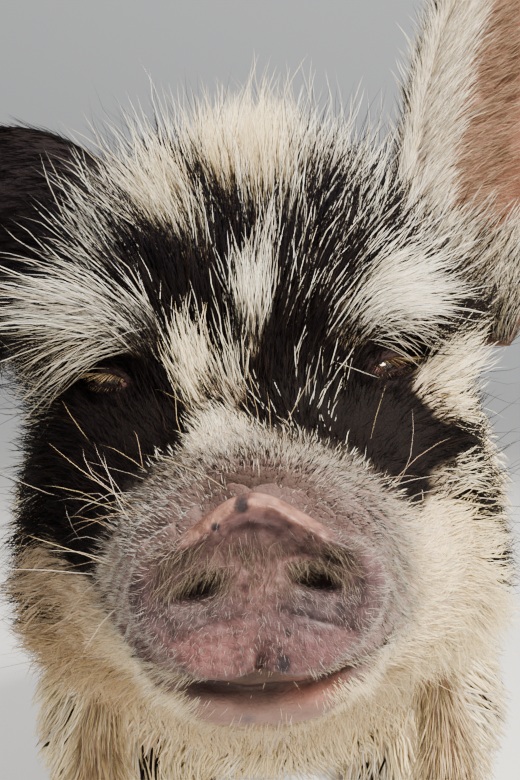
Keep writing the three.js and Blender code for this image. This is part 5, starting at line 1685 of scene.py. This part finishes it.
# wattles
on_w = np.isin(tri_part, [8, 9]).astype(float)
p, n, part = scatter(rng, 0.62 * on_w, 1.0)
d = tangent(np.array([[0, 0, -1.0]]).repeat(len(p), 0), n)
c = lerp(WHITE, CREAM, rng.uniform(0.3, 1.0, len(p))[:, None]) * rng.uniform(0.55, 1, (len(p), 1)) * np.array([0.80, 0.71, 0.60])
pts = strand_points(rng, p, n, d, 15 * rng.uniform(0.5, 1.2, len(p)), np.clip(rng.normal(0.42, 0.15, len(p)), 0.1, 1), tail_c.steps, droop=0.35, bend=0.25, clump=0.4, centres=pick_centres(rng, p, len(p) // 9))
tail_c.add(pts, n, 0.42 * rng.uniform(0.7, 1.3, len(p)), c * 0.55, c, unwrap(p, part))
tail_c.write()

# ---- short golden-brown hair on the disc, whiskers, lashes
disc_c = Coat("coat_snout", HAIR, "snout_skin", [0, 0.34, 0.7])
is_disc = on_body * (ty < 6.5)
turn_t = np.arctan2(tz + 2, tx)
rho_t = np.hypot(tx, tz + 2) / rim_radius(turn_t)
# fine grey hair hides the rim at the sides
dens = 2.5 * smooth(0.76, 0.95, rho_t) * smooth(0.72, 0.40, np.sin(turn_t)) * smooth(-0.93, -0.75, np.sin(turn_t)) * is_disc
p, n, part = scatter(rng, dens, 1.0)
print("rim hairs", len(p))
d = tangent(np.stack([p[:, 0], np.full(len(p), 9.0), p[:, 2] + 2], 1) + rng.normal(0, 5, (len(p), 3)), n)
c = lerp(srgb(96, 82, 78), srgb(206, 194, 184), rng.uniform(0, 1, len(p))[:, None]) * rng.uniform(0.6, 1.0, (len(p), 1))
pts = strand_points(rng, p, n, d, 2.9 * rng.uniform(0.5, 1.3, len(p)), np.clip(rng.normal(0.3, 0.12, len(p)), 0.05, 0.9), disc_c.steps, droop=0.15, bend=0.2, sink=0.2, clump=0.2, centres=pick_centres(rng, p, len(p) // 5))
disc_c.add(pts, n, 0.060 * rng.uniform(0.8, 1.4, len(p)), c * 0.8, c, unwrap(p, part))
is_disc = on_body * (ty < 5)
qn = nostril_q(tx, tz)
band = gauss((tz - 5.2) / 4.4) * smooth(21, 16, np.abs(tx)) * smooth(0.75, 1.1, qn)
dens = (2.8 * band + 1.5 * smooth(-17.5, -14, tz) * (tz < 0) + 2.6 * gauss((qn - 1.4) / 0.42)) * is_disc * (TRI_N[:, 1] < -0.2)
p, n, part = scatter(rng, dens, 1.0)
print("disc hairs", len(p))
dirn = np.stack([0.55 * np.sign(p[:, 0]) * smooth(1, 9, np.abs(p[:, 0])), np.full(len(p), -0.2), np.full(len(p), -1.0)], 1)
d = tangent(dirn + rng.normal(0, 0.5, (len(p), 3)), n)
over_nostril = gauss((p[:, 2] - 4.5) / 5.0)
L = np.where(over_nostril > 0.4, 5.2, 2.0) * rng.uniform(0.6, 1.3, len(p))
c = np.where((over_nostril > 0.4)[:, None], lerp(srgb(74, 60, 50), srgb(148, 133, 116), rng.uniform(0, 1, len(p))[:, None]), lerp(srgb(104, 88, 84), srgb(190, 178, 170), rng.uniform(0, 1, len(p))[:, None])) * rng.uniform(0.6, 1.05, (len(p), 1))
pts = strand_points(rng, p, n, d, L, np.clip(rng.normal(0.42, 0.15, len(p)), 0.1, 1.0), disc_c.steps, droop=0.3, bend=0.5, sink=0.3, clump=0.35, centres=pick_centres(rng, p, len(p) // 5))
disc_c.add(pts, n, np.where(over_nostril > 0.4, 0.066, 0.050) * rng.uniform(0.8, 1.4, len(p)), c * 0.8, c, unwrap(p, part))
# whiskers on snout, chin and cheeks
dens = (0.004 * smooth(8, 14, ty) * (1 - smooth(44, 70, ty)) + 0.020 * smooth(-20, -30, tz) * smooth(8, 12, ty) * (1 - smooth(50, 80, ty))) * on_body * bare
p, n, part = scatter(rng, dens, 1.0)
d = lie(p, n, part)
d = unit(d + np.cross(n, d) * rng.normal(0, 0.35, len(p))[:, None])
c = lerp(CREAM, srgb(178, 152, 120), rng.uniform(0, 1, len(p))[:, None]) * rng.uniform(0.6, 1.0, (len(p), 1))
pts = strand_points(rng, p, n, d, rng.uniform(14, 30, len(p)), np.clip(rng.normal(0.75, 0.2, len(p)), 0.2, 1.3), disc_c.steps, droop=0.3, bend=0.3)
disc_c.add(pts, n, 0.11 * rng.uniform(0.8, 1.2, len(p)), c * 0.8, c, unwrap(p, part))
print("whiskers", len(p))
# lashes
for side in (1, -1):
    cc, e1, e2, out = eye_axes(side)
    r = np.random.default_rng(200 + side)
    for upper, m, ln in ((1, 34, 7.0), (0, 14, 3.5)):
        a = np.linspace(-5.6, 6.2, m) + r.normal(0, 0.12, m)
        edge = np.sqrt(np.maximum(0, 1 - (a / SLIT) ** 2)) * (LID_UP if upper else -LID_LOW) + (0.35 if upper else -0.3)
        hgt = np.sqrt((EYE_R + 1.2) ** 2 - a**2 - edge**2)
        root = cc + a[:, None] * e1 + edge[:, None] * e2 + hgt[:, None] * out
        nn = unit(out + 0.25 * (1 if upper else -1) * e2 + 0 * root)
        dd = unit(e1 * (0.25 * side * 0 + a[:, None] / 9) + e2 * (-0.35 if upper else -0.6) + 0 * root)
        col = lerp(srgb(92, 70, 46), srgb(186, 160, 120), r.uniform(0.0, 1.0, m)[:, None]) * r.uniform(0.7, 1, (m, 1))
        pts = strand_points(r, root, nn, dd, ln * r.uniform(0.7, 1.2, m), np.full(m, 0.75), disc_c.steps, droop=0.1, bend=0.1, sink=0.2)
        disc_c.add(pts, nn, np.full(m, 0.10), col * 0.6, col, unwrap(root, np.zeros(m, int)))
disc_c.write()


# ------------------------------------------------------------------ eyes
def eye_object(side, name):
    c, e1, e2, out = eye_axes(side)
    rows, cols = 48, 64
    th = np.linspace(0, PI, rows + 2)[1:-1]
    a = np.linspace(0, 2 * PI, cols, endpoint=False)
    r = EYE_R * (1 + 0.035 * gauss(th / 0.42))
    ring = np.sin(th)[:, None]
    G = c + (r[:, None] * np.cos(th)[:, None])[..., None] * out + (r[:, None] * ring * np.cos(a)[None])[..., None] * e1 + (
        r[:, None] * ring * np.sin(a)[None])[..., None] * e2
    v, f = grid_mesh(G, c + out * EYE_R * 1.035, c - out * EYE_R)
    me = new_mesh(name, place(v), f)
    th_v = np.arccos(np.clip(unit(v - c) @ out, -1, 1))
    rad = th_v / 0.66  # 1 at the edge of the iris
    ang = np.arctan2((v - c) @ e2, (v - c) @ e1)
    fibre = 0.5 + 0.5 * np.sin(ang * 46 + 3 * np.sin(ang * 7))
    pupil = smooth(0.42, 0.50, np.hypot(((v - c) @ e1) / EYE_R / 0.5 * 0.8, ((v - c) @ e2) / EYE_R / 0.5 * 1.25))
    iris = lerp(srgb(74, 44, 24), srgb(30, 17, 10), smooth(0.5, 1.0, rad)[:, None]) * (0.75 + 0.5 * fibre)[:, None]
    col = lerp(srgb(6, 5, 5), iris, pupil[:, None])
    white = lerp(srgb(120, 92, 80), srgb(88, 54, 50), smooth(1.2, 2.0, rad)[:, None])
    col = lerp(col, white, smooth(0.97, 1.12, rad)[:, None])
    add_colour(me, "Tint", np.clip(col, 0, 1))
    m = bpy.data.materials.get("pig_eye")
    if m is None:
        m, nt, bsdf = material("pig_eye", 0.06, Coat_Weight=1.0, Coat_Roughness=0.03)
        bsdf.inputs["IOR"].default_value = 1.38
        tint = node(nt, "ShaderNodeAttribute", attribute_name="Tint").outputs["Color"]
        n1 = noise_node(nt, 700, 4, 0.6, nt.nodes.new("ShaderNodeTexCoord").outputs["Object"])
        nt.links.new(tinted(nt, tint, n1, 0.7, 1.3), bsdf.inputs["Base Color"])
    me.materials.append(m)
    ob = new_object(name, me)
    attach(ob, BODY)
    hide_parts("eye_left" if side > 0 else "eye_right")
    # the pink flesh in the inner corner
    G, a0, b0 = drop_grid([c + e1 * -6.9 + out * 6.6, c + e1 * -6.0 + out * 7.4 - e2 * 0.2, c + e1 * -4.9 + out * 8.0 - e2 * 0.3],
                          [0.5, 0.9, 1.0, 0.6], 16, 20)
    v, f = grid_mesh(G, a0, b0)
    me = new_mesh(name + "_caruncle", place(v), f)
    m = bpy.data.materials.get("pig_caruncle")
    if m is None:
        m, nt, bsdf = material("pig_caruncle", 0.3, tuple(srgb(70, 42, 40)), Subsurface_Weight=0.3, Subsurface_Scale=0.001)
        n1 = noise_node(nt, 1800, 3, 0.6, nt.nodes.new("ShaderNodeTexCoord").outputs["Object"])
        rgb = nt.nodes.new("ShaderNodeMixRGB")
        rgb.inputs[1].default_value = (*srgb(54, 32, 32), 1)
        rgb.inputs[2].default_value = (*srgb(90, 54, 52), 1)
        nt.links.new(n1, rgb.inputs[0])
        nt.links.new(rgb.outputs[0], bsdf.inputs["Base Color"])
    me.materials.append(m)
    car = new_object(name + "_caruncle", me)
    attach(car, BODY)


eye_object(1, "eyeball_left")
eye_object(-1, "eyeball_right")


# ------------------------------------------------------------------ hooves
def horn_material():
    m, nt, bsdf = material("hoof_horn", 0.42)
    tc = nt.nodes.new("ShaderNodeTexCoord").outputs["Object"]
    tint = node(nt, "ShaderNodeAttribute", attribute_name="Tint").outputs["Color"]
    mp = nt.nodes.new("ShaderNodeMapping")
    mp.inputs["Scale"].default_value = (1, 1, 9)
    nt.links.new(tc, mp.inputs["Vector"])
    rings = noise_node(nt, 90, 4, 0.6, mp.outputs[0], 0.3)
    mp2 = nt.nodes.new("ShaderNodeMapping")
    mp2.inputs["Scale"].default_value = (9, 9, 0.7)
    nt.links.new(tc, mp2.inputs["Vector"])
    grain = noise_node(nt, 120, 4, 0.6, mp2.outputs[0])
    c = tinted(nt, tint, rings, 0.7, 1.3)
    c = tinted(nt, c, grain, 0.75, 1.25)
    nt.links.new(c, bsdf.inputs["Base Color"])
    hgt = maths(nt, "ADD", rings, maths(nt, "MULTIPLY", grain, 0.5))
    b = nt.nodes.new("ShaderNodeBump")
    b.inputs["Strength"].default_value = 0.6
    b.inputs["Distance"].default_value = 0.0006
    nt.links.new(hgt, b.inputs["Height"])
    nt.links.new(b.outputs[0], bsdf.inputs["Normal"])
    r = nt.nodes.new("ShaderNodeMapRange")
    r.inputs["To Min"].default_value = 0.32
    r.inputs["To Max"].default_value = 0.62
    nt.links.new(grain, r.inputs["Value"])
    nt.links.new(r.outputs[0], bsdf.inputs["Roughness"])
    return m


HORN = horn_material()


def claw_outline(w, l, cols):
    """The claw's sole: straight inside, round in front and outside."""
    def bez(a, b, c, d, t):
        return ((1 - t) ** 3)[:, None] * a + (3 * (1 - t) ** 2 * t)[:, None] * b + (3 * (1 - t) * t**2)[:, None] * c + (t**3)[:, None] * d

    w = w / 2
    P_ = [np.array(q, float) for q in [
        (-w * 0.85, l * 0.5), (-w * 1.05, l * 0.1), (-w * 0.95, -l * 0.3), (-w * 0.25, -l * 0.5),
        (w * 0.1, -l * 0.55), (w * 0.5, -l * 0.5), (w * 0.85, -l * 0.25),
        (w * 1.05, 0), (w, l * 0.25), (w * 0.85, l * 0.5)]]
    t = np.linspace(0, 1, 60)
    pts = np.concatenate([bez(*P_[0:4], t), bez(*P_[3:7], t)[1:], bez(*P_[6:10], t)[1:]])
    back = np.linspace(0, 1, 30)[1:-1, None]
    heel = pts[-1] + (pts[0] - pts[-1]) * back + np.array([0, 1.0]) * 1.6 * np.sin(back * PI)
    pts = np.concatenate([pts, heel])
    s = np.concatenate([[0], np.cumsum(np.linalg.norm(np.diff(np.vstack([pts, pts[:1]]), axis=0), axis=1))])
    e = np.linspace(0, s[-1], cols, endpoint=False)
    full = np.vstack([pts, pts[:1]])
    o = np.stack([np.interp(e, s, full[:, 0]), np.interp(e, s, full[:, 1])], 1)
    for _ in range(2):
        o = (np.roll(o, 1, 0) + 2 * o + np.roll(o, -1, 0)) / 4
    return o


def hoof(name, rings, side, inner, fore):
    end = rings[-1]
    x0 = side * (end[1] - inner * HOOF["apart"] / 2)
    mirror = side * (-1 if inner > 0 else 1)
    o = claw_outline(HOOF["wide"], HOOF["long"], 84)
    hs = np.array([0, 0, 0.35, 1.2, 3, 5, 7, 9, 11, 13, 15, 16.6, 17.4])
    inset = np.array([3.0, 0.9, 0.25, 0, 0, 0, 0.0, 0.1, 0.1, 0.2, 0.3, 0.7, 2.2])
    rows = []
    mid = o.mean(0)
    for h, ins in zip(hs, inset):
        t = h / HOOF["high"]
        q = o - unit(o - mid) * ins
        q = q * [1 - 0.1 * t * t, 1 - 0.26 * t]
        ripple = 0.14 * math.sin(h * 2.1 + side) if 1 < h < 15 else 0
        q = q + unit(q - mid) * ripple
        rows.append(np.stack([x0 + mirror * q[:, 0], end[2] - 4 + q[:, 1] + 0.1 * h, np.full(len(q), h - DISC_HEIGHT)], 1))
    G = np.array(rows)
    v, f = grid_mesh(G, G[0].mean(0), G[-1].mean(0))
    # the dewclaw
    dx, dy = end[1] - inner * DEW["apart"] / 2, end[2] + DEW["back"]
    line = [[side * dx, dy + 2, DEW["top"] - DISC_HEIGHT],
            [side * (dx - inner * 1.0), dy + 8.0, (DEW["top"] + DEW["tip"]) / 2 + 2 - DISC_HEIGHT],
            [side * (dx - inner * 1.5), dy + 10.5, DEW["tip"] + 3 - DISC_HEIGHT]]
    G2, a2, b2 = drop_grid(line, [4.0, 4.5, 4.3, 3.6, 2.2], 26, 30)
    v2, f2 = grid_mesh(G2, a2, b2)
    allv = np.concatenate([v, v2])
    me = new_mesh(name, place(allv), [np.concatenate([f[0], f2[0] + len(v)]), np.concatenate([f[1], f2[1] + len(v)])])
    hgt = allv[:, 2] + DISC_HEIGHT
    base = lerp(srgb(96, 80, 68), srgb(54, 46, 42), smooth(3, 13, hgt)[:, None])
    base = lerp(base, srgb(140, 120, 98), (1 - smooth(0.5, 4, hgt))[:, None] * 0.6)
    if side < 0 and not fore:
        base = base * 0.55
    add_colour(me, "Tint", np.clip(base, 0, 1))
    me.materials.append(HORN)
    ob = new_object(name, me)
    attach(ob, BODY)
    where = f"{'fore' if fore else 'hind'}_{'left' if side > 0 else 'right'}_{'inner' if inner > 0 else 'outer'}"
    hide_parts("hoof_" + where, "dewclaw_" + where)


for rings, fore in ((FORELEG, True), (HINDLEG, False)):
    for side in (1, -1):
        for inner in (1, -1):
            hoof(f"claw_{'fore' if fore else 'hind'}_{'left' if side > 0 else 'right'}_{'inner' if inner > 0 else 'outer'}",
                 rings, side, inner, fore)

# ------------------------------------------------------------------ floor and light
floor_me = bpy.data.meshes.new("floor")
s = 40.0
floor_me.from_pydata([(-s, -s, 0), (s, -s, 0), (s, s, 0), (-s, s, 0)], [], [(0, 1, 2, 3)])
floor = new_object("floor", floor_me)
fm, nt, bsdf = material("floor", 0.75, (0.74, 0.73, 0.71))
n1 = noise_node(nt, 3, 3, 0.5, nt.nodes.new("ShaderNodeTexCoord").outputs["Object"])
mixc = nt.nodes.new("ShaderNodeMixRGB")
mixc.inputs[1].default_value = (0.72, 0.71, 0.69, 1)
mixc.inputs[2].default_value = (0.77, 0.76, 0.74, 1)
nt.links.new(n1, mixc.inputs[0])
nt.links.new(mixc.outputs[0], bsdf.inputs["Base Color"])
floor_me.materials.append(fm)
floor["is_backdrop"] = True

world = bpy.data.worlds.new("studio")
bpy.context.scene.world = world
world.use_nodes = True
wt_ = world.node_tree
bg = wt_.nodes["Background"]
# brighter overhead than along the floor's far edge, which it meets without a line
way = wt_.nodes.new("ShaderNodeTexCoord")
parts = wt_.nodes.new("ShaderNodeSeparateXYZ")
wt_.links.new(way.outputs["Generated"], parts.inputs[0])
rise = wt_.nodes.new("ShaderNodeMapRange")
rise.interpolation_type = "SMOOTHSTEP"
rise.inputs["From Min"].default_value = 0.02
rise.inputs["From Max"].default_value = 0.75
rise.inputs["To Min"].default_value = 0.46
rise.inputs["To Max"].default_value = 0.68
wt_.links.new(parts.outputs["Z"], rise.inputs["Value"])
tilt = maths(wt_, "MULTIPLY", parts.outputs["X"], 0.22)
wt_.links.new(maths(wt_, "MAXIMUM", maths(wt_, "ADD", rise.outputs[0], tilt), 0.05), bg.inputs["Strength"])
bg.inputs["Color"].default_value = (0.97, 0.98, 1.0, 1)


def area(name, at, aim, size, power, colour):
    data = bpy.data.lights.new(name, "AREA")
    data.shape = "RECTANGLE"
    data.size, data.size_y = size
    data.energy = power
    data.color = colour
    ob = bpy.data.objects.new(name, data)
    bpy.context.scene.collection.objects.link(ob)
    ob.location = at
    ob.rotation_euler = (Vector(aim) - Vector(at)).to_track_quat("-Z", "Y").to_euler()


area("key", (0.80, -0.85, 1.30), (0, -0.18, 0.25), (0.42, 0.36), 104, (1.0, 0.93, 0.82))
area("fill", (-1.3, -1.0, 0.6), (0, -0.1, 0.22), (1.2, 1.0), 3, (0.93, 0.96, 1.0))
area("back", (0.4, 1.3, 1.7), (0, -0.05, 0.3), (1.0, 0.8), 30, (1.0, 0.96, 0.9))

# ------------------------------------------------------------------ sizes
for m in marks:
    bpy.data.materials.remove(m)
bpy.context.view_layer.update()
total = 0
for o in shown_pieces():
    o.data.calc_loop_triangles()
    total += len(o.data.loop_triangles)
print("triangles", total)
